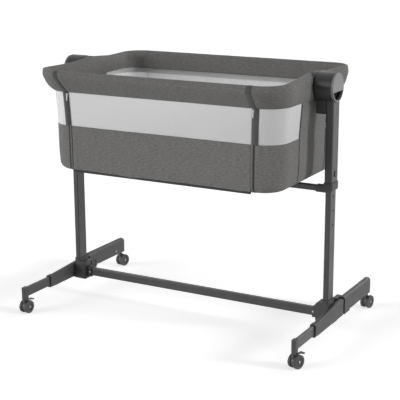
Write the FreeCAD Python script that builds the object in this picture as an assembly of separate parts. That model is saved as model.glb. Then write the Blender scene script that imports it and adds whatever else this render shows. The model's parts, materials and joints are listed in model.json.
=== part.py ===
import FreeCAD, Part
import math
import os

# Bedside sleeper crib on a wheeled frame.
#
# Two H-shaped feet on casters carry a telescopic post at each end.  The posts'
# upper tubes end in round hubs, and a soft-sided basket hangs between the hubs.
# The basket's front is a panel between two zips that folds down beside the bed.
#
# Millimetres, +Z up.  The origin is on the floor under the middle of the crib.
# +X runs along the crib towards the right end, -Y towards the drop-down front.
# Shapes are drawn for the right end and mirrored to the left one.

V = FreeCAD.Vector
X_AXIS = V(1, 0, 0)
Y_AXIS = V(0, 1, 0)
Z_AXIS = V(0, 0, 1)

# ---------------------------------------------------------------- clearances
running_fit = 0.05        # radial, between a pin and its bore
slide_gap = 0.4           # each side, between telescoping tubes
seat_gap = 0.15           # between parts that seat on each other
soft_gap = 0.3            # round tubes and boards inside the fabric
swivel_gap = 0.5          # between a caster and the foot above it
wheel_clearance = 0.6     # round the wheels
web_side_gap = 0.5        # between each wheel and the web
lever_side_gap = 0.4      # between the brake lever and its cheeks
tube_gap = 0.5            # each side, between the inner and outer post tube
hub_gap = 0.8             # between a hub plate and the housing outside it
pin_end_gap = 0.5         # past the end of a pin in its bore
cut_over = 1.0            # how far a cut runs past a face
cut_far = 20.0            # how far a cut runs past a whole part
sink = 1.0                # how far two fused blocks run into each other

# ------------------------------------------------------------------- casters
wheel_radius = 20.0
wheel_width = 9.0
wheel_hub_radius = 11.0   # dished middle of each wheel
wheel_dish = 1.5
tread_round = 2.0
axle_radius = 2.5
caster_trail = 8.0        # from the swivel axis to the axle
caster_crown = 4.0        # caster body's top above its wheels
web_thickness = 8.0
web_inset = 3.0           # the web's round edge inside the wheels'
web_below_axle = 12.0     # the web's lower edge above the floor
stem_radius = 3.0
stem_length = 26.0
stem_collar_radius = 6.2
stem_collar_height = 4.0
wheel_reach = 268.0       # axles from the middle of the crib, front and rear
rest_swivel = {
    "front_left": 3.0,
    "front_right": 19.0,
    "rear_left": 12.0,
    "rear_right": 9.0,
}
wheel_spacing = wheel_width + web_thickness + 2 * web_side_gap
web_radius = wheel_radius - web_inset
front_stem_y = -(wheel_reach + caster_trail)
rear_stem_y = wheel_reach - caster_trail

# -------------------------------------------------------------- brake levers
lever_thickness = 3.0
lever_arm_width = 6.6
lever_tab_width = 15.0
lever_tab_length = 9.0
lever_tab_round = 2.0
lever_length = 26.0       # from its pin to the tab's end
lever_slope = 9.0         # degrees below level
lever_pin_radius = 1.2
lever_pin_reach = 2.2     # how far the pin runs out of the web on each side
lever_barrel_radius = 2.6
lever_behind_axle = 3.0   # from the axle back to the lever's pin
lever_over_wheel = 0.6    # from the wheel's top up to the lever's pin
lever_room_ahead = 3.6    # room cut in the body, from the pin forwards
lever_room_below = 3.4
lever_room_behind = 30.0
lever_room_above = 10.0
cheek_thickness = 1.8
cheek_below = 1.4         # each cheek, from the pin down, up and back
cheek_above = 2.4
cheek_behind = 2.2

# ---------------------------------------------------------------------- feet
foot_low = 2 * wheel_radius + caster_crown + swivel_gap

extension_width = 11.0
extension_height = 30.0
extension_lift = 6.5      # above the lowest part of the foot
extension_wall = 1.6
extension_round = 3.5
extension_step = -50.0    # y where the tube narrows to its tongue
extension_plug = 3.2      # length of the plug that holds the tongue in the tube
tongue_width = 8.0
tongue_height = 22.0
tongue_round = 1.0
tongue_root = 9.6         # length of the tongue inside the tube
tongue_reach = 16.0       # from the rear arm's front to the tongue's end

cap_length = 20.5
cap_margin = 1.0          # over the tube, each side and on top
cap_wall = 3.5            # in front of the caster's stem
cap_round = 3.0
cap_spigot = 20.0

collar_front = -152.0
collar_length = 16.0
collar_margin = 1.2       # over the beam's front end
beam_side_wall = 2.6      # each side of the extension
beam_lift = 2.0
beam_over_extension = 7.0
beam_rise = 11.5          # from the beam's front height to its rear height
beam_end = 52.0           # y where the beam meets its neck
beam_round = 6.0
neck_length = 8.0
neck_inset = 2.0

arm_margin = 1.5          # over the beam, each side
arm_past_stem = 15.0      # from the rear caster's stem to the arm's end
arm_collar_lift = 1.5
arm_collar_length = 40.0
arm_lift = 6.0
arm_over_beam = 4.0       # the arm's top above the beam's rear height
arm_end_round = 13.0
arm_edge_round = 8.0
arm_end_chamfer = 4.0
arm_end_block = 30.0      # solid length round the rear caster's stem

latch_box_ahead = 7.0     # from the beam's end forwards
latch_box_length = 34.0
latch_box_depth = 13.4
latch_box_lift = 5.0
latch_box_inset = 1.5     # the latch box is this much lower than the beam's rear height
latch_recess_radius = 10.0
latch_recess_depth = 4.0
latch_past_start = 9.0    # from the arm's front to the latch
latch_button_radius = 7.5
latch_button_height = 3.0
latch_pin_radius = 3.0
latch_travel = 3.0

beam_width = extension_width + 2 * beam_side_wall
beam_front_height = extension_height + beam_over_extension
beam_rear_height = beam_front_height + beam_rise
arm_width = beam_width + 2 * arm_margin
arm_start = beam_end + neck_length
arm_end = rear_stem_y + arm_past_stem
arm_top_lift = beam_lift + beam_rear_height + arm_over_beam
tongue_lift = extension_lift + (extension_height - tongue_height) / 2
extension_end = arm_start + tongue_reach
latch_box_front = beam_end - latch_box_ahead
latch_box_height = beam_rear_height - latch_box_inset
latch_y = arm_start + latch_past_start
latch_lift = tongue_lift + tongue_height / 2

# --------------------------------------------------------------- lower posts
inner_tube_width = 16.5
inner_tube_depth = 39.5
inner_tube_wall = 1.6
inner_tube_round = 3.0
inner_tube_length = 473.0
level_pitch = 42.0
level_hole_radius = 3.2
level_holes = 6
level_below_collar = 17.0    # from the post collar's lower end to the nearest level hole
levels_down = 2           # levels below that hole

bracket_inner_reach = 27.5   # from the post's middle to the bracket's inner face
bracket_half_depth = 23.0
bracket_drop = 3.5        # below the foot's lowest part
post_seat_over_beam = 2.0
bracket_socket_height = 11.0
bracket_wall = 3.0
bracket_socket_floor = 1.7
bracket_lip = 12.0
bracket_lip_inset = 5.0
bracket_spigot = 38.0
bracket_rib_width = 5.0
bracket_rib_height = 2.0
bracket_rib_spacing = 26.0
bracket_round = 3.0
bracket_floor = beam_lift + beam_rear_height + post_seat_over_beam
bracket_top = bracket_floor + bracket_socket_height

lower_bar_height = 25.0
lower_bar_depth = 17.0
lower_bar_lift = 7.5
lower_bar_wall = 1.5
lower_bar_round = 3.0
bar_socket_length = 15.5
bar_socket_wall = 4.0

screw_head_radius = 3.6
screw_head_height = 1.8
screw_shank_radius = 2.0
screw_length = 10.0
bar_screw_end = 4.0       # the screw's end above the crossbar's middle
arm_screw_places = [(100.0, 8.0), (215.0, 20.5)]   # y, and height above the foot's lowest part

# -------------------------------------------------------------------- basket
basket_half_length = 371.0   # the hubs, posts and feet take their places along X from it
basket_half_depth = 222.0
# Each ring of the basket: half length, half depth, corner radius, and how far
# the middle of each end is drawn in.
lower_ring = (basket_half_length, basket_half_depth, 68.0, 0.0)
band_ring = (basket_half_length + 7.0, basket_half_depth + 4.0, 70.0, 0.0)
rim_ring = (basket_half_length + 23.0, basket_half_depth + 53.0, 95.0, 12.0)
rim_top_ring = (basket_half_length + 16.0, basket_half_depth + 46.0, 90.0, 13.0)
band_inner_ring = (basket_half_length - 5.0, basket_half_depth - 4.0, 60.0, 6.0)
rim_inner_ring = (basket_half_length - 9.0, basket_half_depth + 26.0, 72.0, 12.0)
rim_tube_ring = (basket_half_length + 13.0, basket_half_depth + 42.0, 84.0, 12.0)

hub_above_foot = 674.5
hub_z = foot_low + hub_above_foot
rim_top_rise = 29.0       # above the hub axis
rim_rise = 19.0
rim_tube_rise = 18.0
inner_band_drop = 22.0    # below the hub axis
band_drop = 35.0
mesh_drop = 132.0
basket_drop = 267.0

fabric_thickness = 3.0
mesh_thickness = 1.6
band_hem = 4.0
tray_height = 20.0
tray_round = 18.0
end_panel_half_width = 90.0
rim_tube_radius = 7.0
rim_tube_wall = 1.2

base_tube_radius = 6.0
base_tube_wall = 1.2
base_tube_inset = 16.0    # from the wall's inner face to the tube's middle
board_thickness = 4.0
board_inset = 6.0
mattress_inset = 13.0
mattress_thickness = 40.0
mattress_round = 10.0

# ---------------------------------------------------------------------- hubs
hub_plate_radius = 40.0
hub_cutout_gap = 5.5      # between a hub plate and the fabric's cut-out
hub_plate_depth = 13.7    # from the rim's outside at the middle of the end
hub_plate_thickness = 17.2
pin_radius = 7.0
pin_in_plate = 13.0       # length of the pin in its hub plate
pin_end_inset = 14.0      # from the housing's outer edge to the pin's end
housing_radius = 41.0
housing_width = 50.7
housing_wall = 4.0
housing_round = 4.0
boss_radius = 12.0
inner_web = 4.7
outer_web = 3.5
recess_depth = 9.0        # from the housing's outer edge to the outer web
hub_neck_inset = 1.7      # from the housing's inner face
hub_neck_half_depth = 20.0
hub_neck_top_drop = 29.0
hub_neck_bottom_drop = 74.0
hub_neck_round = 5.0
plug_length = 22.0
ring_inset = 1.5          # the ring's edge inside the housing's
ring_wall = 3.5
ring_height = 7.0
dial_thickness = 3.5
dial_flat_drop = 11.5     # flat edge below the hub axis
dial_shaft_radius = 5.0
dial_shaft_gap = 0.5      # from the outer web's inner face

hub_cutout_radius = hub_plate_radius + hub_cutout_gap
hub_plate_inner = rim_ring[0] - rim_ring[3] - hub_plate_depth
hub_plate_outer = hub_plate_inner + hub_plate_thickness
housing_inner = hub_plate_outer + hub_gap
housing_outer = housing_inner + housing_width
hub_neck_inner = housing_inner + hub_neck_inset
pin_inner = hub_plate_outer - pin_in_plate
pin_outer = housing_outer - pin_end_inset
ring_outer_radius = housing_radius - ring_inset

# --------------------------------------------------------------- upper frame
post_inset = 8.0          # from the housing's outer edge to the post's middle
foot_outset = 19.5        # from the post's middle out to the foot's
outer_tube_wall = 2.5
outer_tube_round = 4.0
tube_below_basket = 16.0  # the outer tubes' lower end below the basket
outer_tube_top_drop = 29.0
collar_overlap = 17.0     # length of the outer tube inside the post collar
post_collar_height = 23.0
post_collar_wall = 2.25
post_collar_chamfer = 2.0

upper_bar_size = 16.0
upper_bar_wall = 1.5
upper_bar_round = 2.0
bar_below_tube = 4.0      # from the outer tube's end down to the bar's middle
bar_bracket_reach = 41.0  # from the post's middle to the bracket's inner end
bar_bracket_wall = 2.0
bar_stop = 4.0            # from the bar's end to the post collar

button_y = 3.0
button_width = 13.0
button_height = 18.0
button_above_end = 40.0   # from the outer tube's end to the button's middle
button_proud = 1.8
button_depth = 2.3
button_round = 6.0
button_scoop_radius = 9.0
button_scoop_depth = 0.8
button_scoop_step = 5.0

post_centre = housing_outer - post_inset
foot_centre = post_centre + foot_outset
bracket_inner = post_centre - bracket_inner_reach
outer_tube_width = inner_tube_width + 2 * (outer_tube_wall + tube_gap)
outer_tube_depth = inner_tube_depth + 2 * (outer_tube_wall + tube_gap)
outer_tube_drop = basket_drop + tube_below_basket
post_collar_top_drop = outer_tube_drop - collar_overlap
upper_bar_drop = outer_tube_drop + bar_below_tube
bar_bracket_inner = post_centre - bar_bracket_reach
button_drop = outer_tube_drop - button_above_end

# ------------------------------------------------------------ drop-down panel
# The zips' line: its place at the bottom, and how far out it has run at the
# mesh's lower edge, at the mesh's upper edge and at the top.
zip_gap = 1.0
zip_before_corner = 14.0
zip_out_mesh = 1.0
zip_out_band = 5.0
zip_out_top = 11.0
rail_end = 3.0            # from the zip to the rail's end
zip_x_bottom = lower_ring[0] - lower_ring[2] - zip_before_corner
zip_x_mesh = zip_x_bottom + zip_out_mesh
zip_x_band = zip_x_bottom + zip_out_band
zip_x_top = zip_x_bottom + zip_out_top

slider_below_band = 3.0
slider_length = 12.0
slider_width = 5.5
slider_thickness = 3.0
slider_side_gap = 1.0
slider_round = 1.2
slider_tab_length = 15.0
slider_tab_width = 3.85
slider_tab_thickness = 1.2
slider_tab_round = 1.0

# ------------------------------------------------------------- derived levels
rim_top_z = hub_z + rim_top_rise
rim_z = hub_z + rim_rise
rim_tube_z = hub_z + rim_tube_rise
inner_band_z = hub_z - inner_band_drop
band_z = hub_z - band_drop
mesh_z = hub_z - mesh_drop
basket_z = hub_z - basket_drop
tray_top_z = basket_z + tray_height
extension_z = foot_low + extension_lift
extension_mid_z = extension_z + extension_height / 2


# -------------------------------------------------------------------- helpers
def box(x, y, z):
    """A block between the low and high value of each axis."""
    return Part.makeBox(x[1] - x[0], y[1] - y[0], z[1] - z[0], V(x[0], y[0], z[0]))


def around(middle, size):
    """Low and high value of a size centred on a middle."""
    return (middle - size / 2, middle + size / 2)


def cylinder(radius, start, end):
    """A round bar from one point to another."""
    way = end.sub(start)
    return Part.makeCylinder(radius, way.Length, start, way)


def edges_along(shape, axis):
    """The straight edges of a shape that run along an axis."""
    found = []
    for edge in shape.Edges:
        if edge.Curve.TypeId != "Part::GeomLine":
            continue
        if edge.tangentAt(edge.FirstParameter).cross(axis).Length < 1e-6:
            found.append(edge)
    return found


def rounded_block(x, y, z, radius, axis):
    """A block whose four edges along one axis are rounded."""
    block = box(x, y, z)
    return block.makeFillet(radius, edges_along(block, axis))


def polygon_prism(points, axis, low, high):
    """A polygon pushed along X (points are y, z) or along Y (points are x, z)."""
    if axis == "X":
        corners = [V(low, a, b) for a, b in points]
        way = V(high - low, 0, 0)
    else:
        corners = [V(a, low, b) for a, b in points]
        way = V(0, high - low, 0)
    return Part.Face(Part.makePolygon(corners + corners[:1])).extrude(way)


def hollow_bar(x, y, z, radius, wall, axis):
    """A rounded rectangular tube, open at both ends."""
    outer = rounded_block(x, y, z, radius, axis)
    over = 1.0
    spans = [x, y, z]
    inner = []
    for direction, span in zip((X_AXIS, Y_AXIS, Z_AXIS), spans):
        grow = -over if direction == axis else wall
        inner.append((span[0] + grow, span[1] - grow))
    return outer.cut(rounded_block(*inner, max(radius - wall, wall / 2), axis))


def mirrored(shape):
    """The same shape at the left end."""
    return shape.mirror(V(0, 0, 0), X_AXIS)


def save(name, *shapes):
    """Write one named sub-part, as one solid or a group of separate solids."""
    solids = [solid for shape in shapes for solid in shape.Solids]
    whole = solids[0] if len(solids) == 1 else Part.makeCompound(solids)
    whole.exportStep("parts/" + name + ".step")


def save_both(name, right):
    """Write a sub-part of the right end and its mirror image at the left end."""
    save(name + "_right", right)
    save(name + "_left", mirrored(right))


# -------------------------------------------------------------------- casters
def caster_place(shape, corner):
    """Turn a caster part about its stem and stand it under its corner of the crib."""
    side = 1 if corner.endswith("right") else -1
    stem_y = front_stem_y if corner.startswith("front") else rear_stem_y
    placed = shape.copy()
    placed.rotate(V(0, 0, 0), Z_AXIS, -rest_swivel[corner])
    placed.translate(V(side * foot_centre, stem_y, 0))
    return placed


def lever_shape():
    """A brake lever: a barrel on its pin, a narrow arm over the web and a wide tab."""
    pin_y = caster_trail + lever_behind_axle
    pin_z = 2 * wheel_radius + lever_over_wheel
    half = lever_thickness / 2
    arm = box(around(0, lever_arm_width), (pin_y, pin_y + lever_length), (pin_z - half, pin_z + half))
    tab_start = pin_y + lever_length - lever_tab_length
    tab = rounded_block(
        around(0, lever_tab_width),
        (tab_start, pin_y + lever_length),
        (pin_z - half, pin_z + half),
        lever_tab_round,
        Z_AXIS,
    )
    barrel = cylinder(
        lever_barrel_radius, V(-lever_arm_width / 2, pin_y, pin_z), V(lever_arm_width / 2, pin_y, pin_z)
    )
    lever = arm.fuse([tab, barrel])
    lever.rotate(V(0, pin_y, pin_z), X_AXIS, -lever_slope)
    bore = cylinder(
        lever_pin_radius + running_fit, V(-wheel_radius, pin_y, pin_z), V(wheel_radius, pin_y, pin_z)
    )
    return lever.cut(bore).removeSplitter()


def caster_body_shape(braked):
    """Stem, collar and the web between the twin wheels, bored for the axle."""
    half = web_thickness / 2
    top = 2 * wheel_radius + caster_crown
    axle = V(0, caster_trail, wheel_radius)
    hood = cylinder(web_radius, axle + V(-half, 0, 0), axle + V(half, 0, 0))
    hood = hood.common(
        box((-half, half), (-web_radius, caster_trail + web_radius), (web_below_axle, top))
    )
    block = box((-half, half), (-stem_collar_radius, stem_collar_radius), (wheel_radius, top - sink))
    collar = cylinder(stem_collar_radius, V(0, 0, top - stem_collar_height), V(0, 0, top))
    stem = cylinder(stem_radius, V(0, 0, top - sink), V(0, 0, top + swivel_gap + stem_length))
    body = hood.fuse([block, collar, stem])
    if braked:
        pin_y = caster_trail + lever_behind_axle
        pin_z = 2 * wheel_radius + lever_over_wheel
        room = box(
            (-half - cut_far, half + cut_far),
            (pin_y - lever_room_ahead, pin_y + lever_room_behind),
            (pin_z - lever_room_below, pin_z + lever_room_above),
        )
        body = body.cut(room)
        pin_end = half + lever_pin_reach
        pin = cylinder(lever_pin_radius, V(-pin_end, pin_y, pin_z), V(pin_end, pin_y, pin_z))
        cheek_in = lever_arm_width / 2 + lever_side_gap
        for side in (-1, 1):
            faces = sorted((side * cheek_in, side * (cheek_in + cheek_thickness)))
            cheek = box(faces, (0, pin_y + cheek_behind), (pin_z - cheek_below, pin_z + cheek_above))
            body = body.fuse(cheek)
        body = body.fuse(pin)
    across = V(wheel_radius, 0, 0)
    wheel_room = cylinder(wheel_radius + wheel_clearance, axle - across, axle + across)
    wheel_room = wheel_room.cut(box((-half, half), (-wheel_radius, 2 * wheel_radius), (0, top)))
    bore = cylinder(axle_radius + running_fit, axle - across, axle + across)
    return body.cut([wheel_room, bore]).removeSplitter()


def caster_wheels_shape():
    """Two dished wheels and the axle that carries them through the web."""
    parts = []

    def on_axle(x):
        return V(x, caster_trail, wheel_radius)

    for side in (-1, 1):
        inner = side * (wheel_spacing - wheel_width) / 2
        outer = side * (wheel_spacing + wheel_width) / 2
        wheel = cylinder(wheel_radius, on_axle(inner), on_axle(outer))
        rims = [edge for edge in wheel.Edges if edge.Curve.TypeId == "Part::GeomCircle"]
        wheel = wheel.makeFillet(tread_round, rims)
        dish_floor = on_axle(outer - side * wheel_dish)
        dish = cylinder(wheel_hub_radius, dish_floor, on_axle(outer + side * cut_over))
        bore = cylinder(axle_radius, on_axle(inner - side * cut_over), on_axle(outer + side * cut_over))
        parts.append(wheel.cut([dish, bore]))
    reach = (wheel_spacing + wheel_width) / 2 - wheel_dish / 2
    parts.append(cylinder(axle_radius, on_axle(-reach), on_axle(reach)))
    return parts


def make_casters():
    wheels = caster_wheels_shape()
    for corner in rest_swivel:
        body = caster_body_shape(corner.startswith("front"))
        save("caster_body_" + corner, caster_place(body, corner))
        save("caster_wheels_" + corner, *[caster_place(part, corner) for part in wheels])
    lever = lever_shape()
    for side in ("left", "right"):
        save("brake_lever_" + side, caster_place(lever, "front_" + side))


# ----------------------------------------------------------------------- feet
def stem_bore(stem_y):
    """The hole in a foot for a caster's stem."""
    start = V(foot_centre, stem_y, foot_low - cut_over)
    stop = V(foot_centre, stem_y, foot_low + stem_length + pin_end_gap * 2)
    return cylinder(stem_radius + running_fit, start, stop)


def extension_passage(low, high):
    """The hole that the extension's tube slides in."""
    return rounded_block(
        around(foot_centre, extension_width + 2 * slide_gap),
        (low, high),
        around(extension_mid_z, extension_height + 2 * slide_gap),
        extension_round,
        Y_AXIS,
    )


def tongue_passage(low, high):
    """The smaller hole that the extension's tongue slides in."""
    middle = foot_low + tongue_lift + tongue_height / 2
    return box(
        around(foot_centre, tongue_width + 2 * slide_gap),
        (low, high),
        around(middle, tongue_height + 2 * slide_gap),
    )


def latch_bore(radius, start, end):
    """A round cut across the foot at the latch."""
    z = foot_low + latch_lift
    return cylinder(radius, V(start, latch_y, z), V(end, latch_y, z))


def make_extension():
    cap_front = front_stem_y - stem_radius - cap_wall
    cap_back = cap_front + cap_length
    tube = hollow_bar(
        around(foot_centre, extension_width),
        (cap_back, extension_step),
        (extension_z, extension_z + extension_height),
        extension_round,
        extension_wall,
        Y_AXIS,
    )
    tongue_z = foot_low + tongue_lift
    tongue = hollow_bar(
        around(foot_centre, tongue_width),
        (extension_step - tongue_root, extension_end),
        (tongue_z, tongue_z + tongue_height),
        tongue_round,
        extension_wall,
        Y_AXIS,
    )
    inside = rounded_block(
        around(foot_centre, extension_width - extension_wall),
        (extension_step - extension_plug, extension_step),
        around(extension_mid_z, extension_height - extension_wall),
        extension_round - extension_wall,
        Y_AXIS,
    )
    inside = inside.cut(
        box(
            around(foot_centre, tongue_width - 2 * extension_wall),
            (extension_step - cut_far, extension_step + cut_over),
            (tongue_z + extension_wall, tongue_z + tongue_height - extension_wall),
        )
    )
    save_both("front_extension", tube.fuse([tongue, inside]).removeSplitter())

    cap = rounded_block(
        around(foot_centre, extension_width + 2 * cap_margin),
        (cap_front, cap_back),
        (foot_low, extension_z + extension_height + cap_margin),
        cap_round,
        Z_AXIS,
    )
    fit = extension_wall + seat_gap
    spigot = box(
        around(foot_centre, extension_width - 2 * fit),
        (cap_back - sink, cap_back + cap_spigot),
        around(extension_mid_z, extension_height - 2 * (fit + extension_round - extension_wall)),
    )
    save_both("front_end_cap", cap.fuse(spigot).cut(stem_bore(front_stem_y)).removeSplitter())


def beam_slope_z(y):
    """Top of the tapered beam at a place along it."""
    beam_front = collar_front + collar_length
    share = (y - beam_front) / (beam_end - beam_front)
    return foot_low + beam_lift + beam_front_height + share * (beam_rear_height - beam_front_height)


def make_foot_beam():
    beam_front = collar_front + collar_length
    low = foot_low + beam_lift
    sides = around(foot_centre, beam_width)
    beam = polygon_prism(
        [
            (beam_front, low),
            (beam_end, low),
            (beam_end, beam_slope_z(beam_end)),
            (beam_front, beam_slope_z(beam_front)),
        ],
        "X",
        *sides,
    )
    top_edges = []
    for edge in beam.Edges:
        middle = edge.CenterOfMass
        if edge.Length > beam_rear_height * 2 and middle.z > low + beam_front_height / 2:
            top_edges.append(edge)
    beam = beam.makeFillet(beam_round, top_edges)
    neck = box(
        (sides[0] + neck_inset, sides[1] - neck_inset),
        (beam_end - sink, beam_end + neck_length),
        (low + neck_inset, beam_slope_z(beam_end) - neck_inset),
    )
    beam = beam.fuse(neck)
    tube_hole = extension_passage(beam_front - cut_over, beam_end)
    tongue_hole = tongue_passage(0, arm_start + cut_over)
    beam = beam.cut([tube_hole, tongue_hole])
    save_both("foot_beam", beam.removeSplitter())

    collar = rounded_block(
        (sides[0] - collar_margin, sides[1] + collar_margin),
        (collar_front, beam_front),
        (low - collar_margin, low + beam_front_height + collar_margin),
        beam_round,
        Y_AXIS,
    )
    collar = collar.cut(extension_passage(collar_front - cut_over, beam_front + cut_over))
    save("foot_collars", collar, mirrored(collar))


def make_rear_arm():
    start = arm_start
    collar_low = foot_low + arm_collar_lift
    low = foot_low + arm_lift
    top = foot_low + arm_top_lift
    step = start + arm_collar_length
    sides = around(foot_centre, arm_width)
    arm = polygon_prism(
        [
            (start, collar_low),
            (step, collar_low),
            (step, low),
            (arm_end - arm_end_chamfer, low),
            (arm_end, low + arm_end_chamfer),
            (arm_end, top),
            (start, top),
        ],
        "X",
        *sides,
    )
    corner = []
    for edge in edges_along(arm, X_AXIS):
        if edge.CenterOfMass.y > arm_end - sink and edge.CenterOfMass.z > top - sink:
            corner.append(edge)
    arm = arm.makeFillet(arm_end_round, corner)
    top_edges = []
    for edge in arm.Edges:
        middle = edge.CenterOfMass
        at_side = abs(abs(middle.x - foot_centre) - arm_width / 2) < 0.01
        if at_side and middle.z > top - arm_end_round:
            top_edges.append(edge)
    arm = arm.makeFillet(arm_edge_round, top_edges)
    latch_box = box(
        (sides[0] - latch_box_depth, sides[0] + sink),
        (start, latch_box_front + latch_box_length),
        (foot_low + latch_box_lift, foot_low + latch_box_lift + latch_box_height),
    )
    latch_ear = box(
        (sides[0] - latch_box_depth, foot_centre - beam_width / 2 - seat_gap),
        (latch_box_front, start + sink),
        (foot_low + latch_box_lift, foot_low + latch_box_lift + latch_box_height),
    )
    arm = arm.fuse([latch_box, latch_ear])
    box_face = sides[0] - latch_box_depth
    button_room = box_face + latch_recess_depth + latch_travel + pin_end_gap
    arm = arm.cut(
        [
            tongue_passage(start - cut_over, arm_end - arm_end_block),
            stem_bore(rear_stem_y),
            latch_bore(latch_recess_radius, box_face - cut_over, box_face + latch_recess_depth),
            latch_bore(latch_button_radius + seat_gap, box_face, button_room),
            latch_bore(latch_pin_radius + running_fit, box_face, foot_centre),
        ]
        + [screw_hole(y, foot_low + lift) for y, lift in arm_screw_places]
    )
    save_both("rear_arm", arm.removeSplitter())

    button_face = box_face + latch_recess_depth - latch_button_height
    tongue_side = foot_centre - tongue_width / 2
    button = latch_bore(latch_button_radius, button_face, box_face + latch_recess_depth)
    pin = latch_bore(latch_pin_radius, button_face + sink, tongue_side - seat_gap * 2 - latch_travel)
    save_both("foot_latch", button.fuse(pin).removeSplitter())


def screw_hole(y, z):
    """A blind hole for a screw in the inner face of the rear arm."""
    face = foot_centre - arm_width / 2
    stop = V(face + screw_length + 2 * pin_end_gap, y, z)
    return cylinder(screw_shank_radius + running_fit, V(face - cut_over, y, z), stop)


def screw(y, z):
    """A round-headed screw in the inner face of the rear arm."""
    face = foot_centre - arm_width / 2
    head = cylinder(screw_head_radius, V(face - screw_head_height, y, z), V(face, y, z))
    shank = cylinder(screw_shank_radius, V(face - sink / 2, y, z), V(face + screw_length, y, z))
    return head.fuse(shank).removeSplitter()


# ----------------------------------------------------------------- lower frame
def bar_screw(radius, top, bottom):
    """A cylinder up through the crossbar's socket, beside the bracket."""
    x = bracket_inner - bar_socket_length / 2
    return cylinder(radius, V(x, 0, bottom), V(x, 0, top))


def make_post_bracket():
    beam_side = foot_centre - beam_width / 2
    low = foot_low - bracket_drop
    floor = foot_low + bracket_floor
    top = foot_low + bracket_top
    half = bracket_half_depth
    body = rounded_block(
        (bracket_inner, beam_side - seat_gap), (-half, half), (low, floor), bracket_round, X_AXIS
    )
    tube_x = around(post_centre, inner_tube_width)
    tube_y = around(0, inner_tube_depth)
    grow = seat_gap + bracket_wall
    socket = rounded_block(
        (tube_x[0] - grow, tube_x[1] + grow),
        (tube_y[0] - grow, tube_y[1] + grow),
        (floor - bracket_socket_floor, top),
        inner_tube_round + grow,
        Z_AXIS,
    )
    pocket = rounded_block(
        (tube_x[0] - seat_gap, tube_x[1] + seat_gap),
        (tube_y[0] - seat_gap, tube_y[1] + seat_gap),
        (floor, top + cut_over),
        inner_tube_round,
        Z_AXIS,
    )
    inside = inner_tube_wall + seat_gap
    spigot = box(
        (tube_x[0] + inside, tube_x[1] - inside),
        (tube_y[0] + inside + inner_tube_round, tube_y[1] - inside - inner_tube_round),
        (floor - sink, floor + bracket_spigot),
    )
    lip = box(
        (beam_side - sink, beam_side + bracket_lip),
        (-half + bracket_lip_inset, half - bracket_lip_inset),
        (low, foot_low + beam_lift - seat_gap),
    )
    bar_z = foot_low + lower_bar_lift + lower_bar_height / 2
    bar_socket = rounded_block(
        (bracket_inner - bar_socket_length, bracket_inner + sink),
        around(0, lower_bar_depth + 2 * bar_socket_wall),
        around(bar_z, lower_bar_height + 2 * bar_socket_wall),
        bracket_round,
        X_AXIS,
    )
    bar_hole = rounded_block(
        (bracket_inner - bar_socket_length - cut_over, bracket_inner),
        around(0, lower_bar_depth + 2 * seat_gap),
        around(bar_z, lower_bar_height + 2 * seat_gap),
        lower_bar_round,
        X_AXIS,
    )
    ribs = []
    for side in (-1, 1):
        ribs.append(
            box(
                (bracket_inner - bracket_rib_height, bracket_inner + sink),
                around(side * (bracket_rib_spacing / 2 + bracket_rib_width), bracket_rib_width),
                (low + bracket_round, floor - bracket_round),
            )
        )
    bracket = body.fuse([socket, lip, bar_socket] + ribs).cut([pocket, bar_hole]).fuse(spigot)
    socket_top = bar_z + lower_bar_height / 2 + bar_socket_wall
    bracket = bracket.cut(bar_screw(screw_shank_radius + running_fit, socket_top + cut_over, bar_z))
    save_both("post_bracket", bracket.removeSplitter())

    bar = hollow_bar(
        (-bracket_inner + seat_gap, bracket_inner - seat_gap),
        around(0, lower_bar_depth),
        around(bar_z, lower_bar_height),
        lower_bar_round,
        lower_bar_wall,
        X_AXIS,
    )
    hole = bar_screw(screw_shank_radius + running_fit, socket_top + cut_over, bar_z)
    bar = bar.cut([hole, mirrored(hole)])
    save("lower_crossbar", bar)

    head = bar_screw(screw_head_radius, socket_top + screw_head_height, socket_top)
    shank = bar_screw(screw_shank_radius, socket_top + sink / 2, bar_z + bar_screw_end)
    screws = [head.fuse(shank).removeSplitter()]
    for y, lift in arm_screw_places:
        screws.append(screw(y, foot_low + lift))
    save("frame_screws", *screws, *[mirrored(each) for each in screws])


def make_lower_post():
    floor = foot_low + bracket_floor
    outer_x = post_centre + inner_tube_width / 2
    tube = hollow_bar(
        around(post_centre, inner_tube_width),
        around(0, inner_tube_depth),
        (floor, floor + inner_tube_length),
        inner_tube_round,
        inner_tube_wall,
        Z_AXIS,
    )
    collar_low = hub_z - post_collar_top_drop - post_collar_height
    first = collar_low - level_below_collar - levels_down * level_pitch
    holes = []
    for step in range(level_holes):
        z = first + step * level_pitch
        holes.append(cylinder(level_hole_radius, V(post_centre, 0, z), V(outer_x + cut_over, 0, z)))
    save_both("lower_post", tube.cut(holes))


# ----------------------------------------------------------------- upper frame
def hub_cylinder(radius, start, end):
    """A round part on the hub axis, along X."""
    return cylinder(radius, V(start, 0, hub_z), V(end, 0, hub_z))


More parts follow.
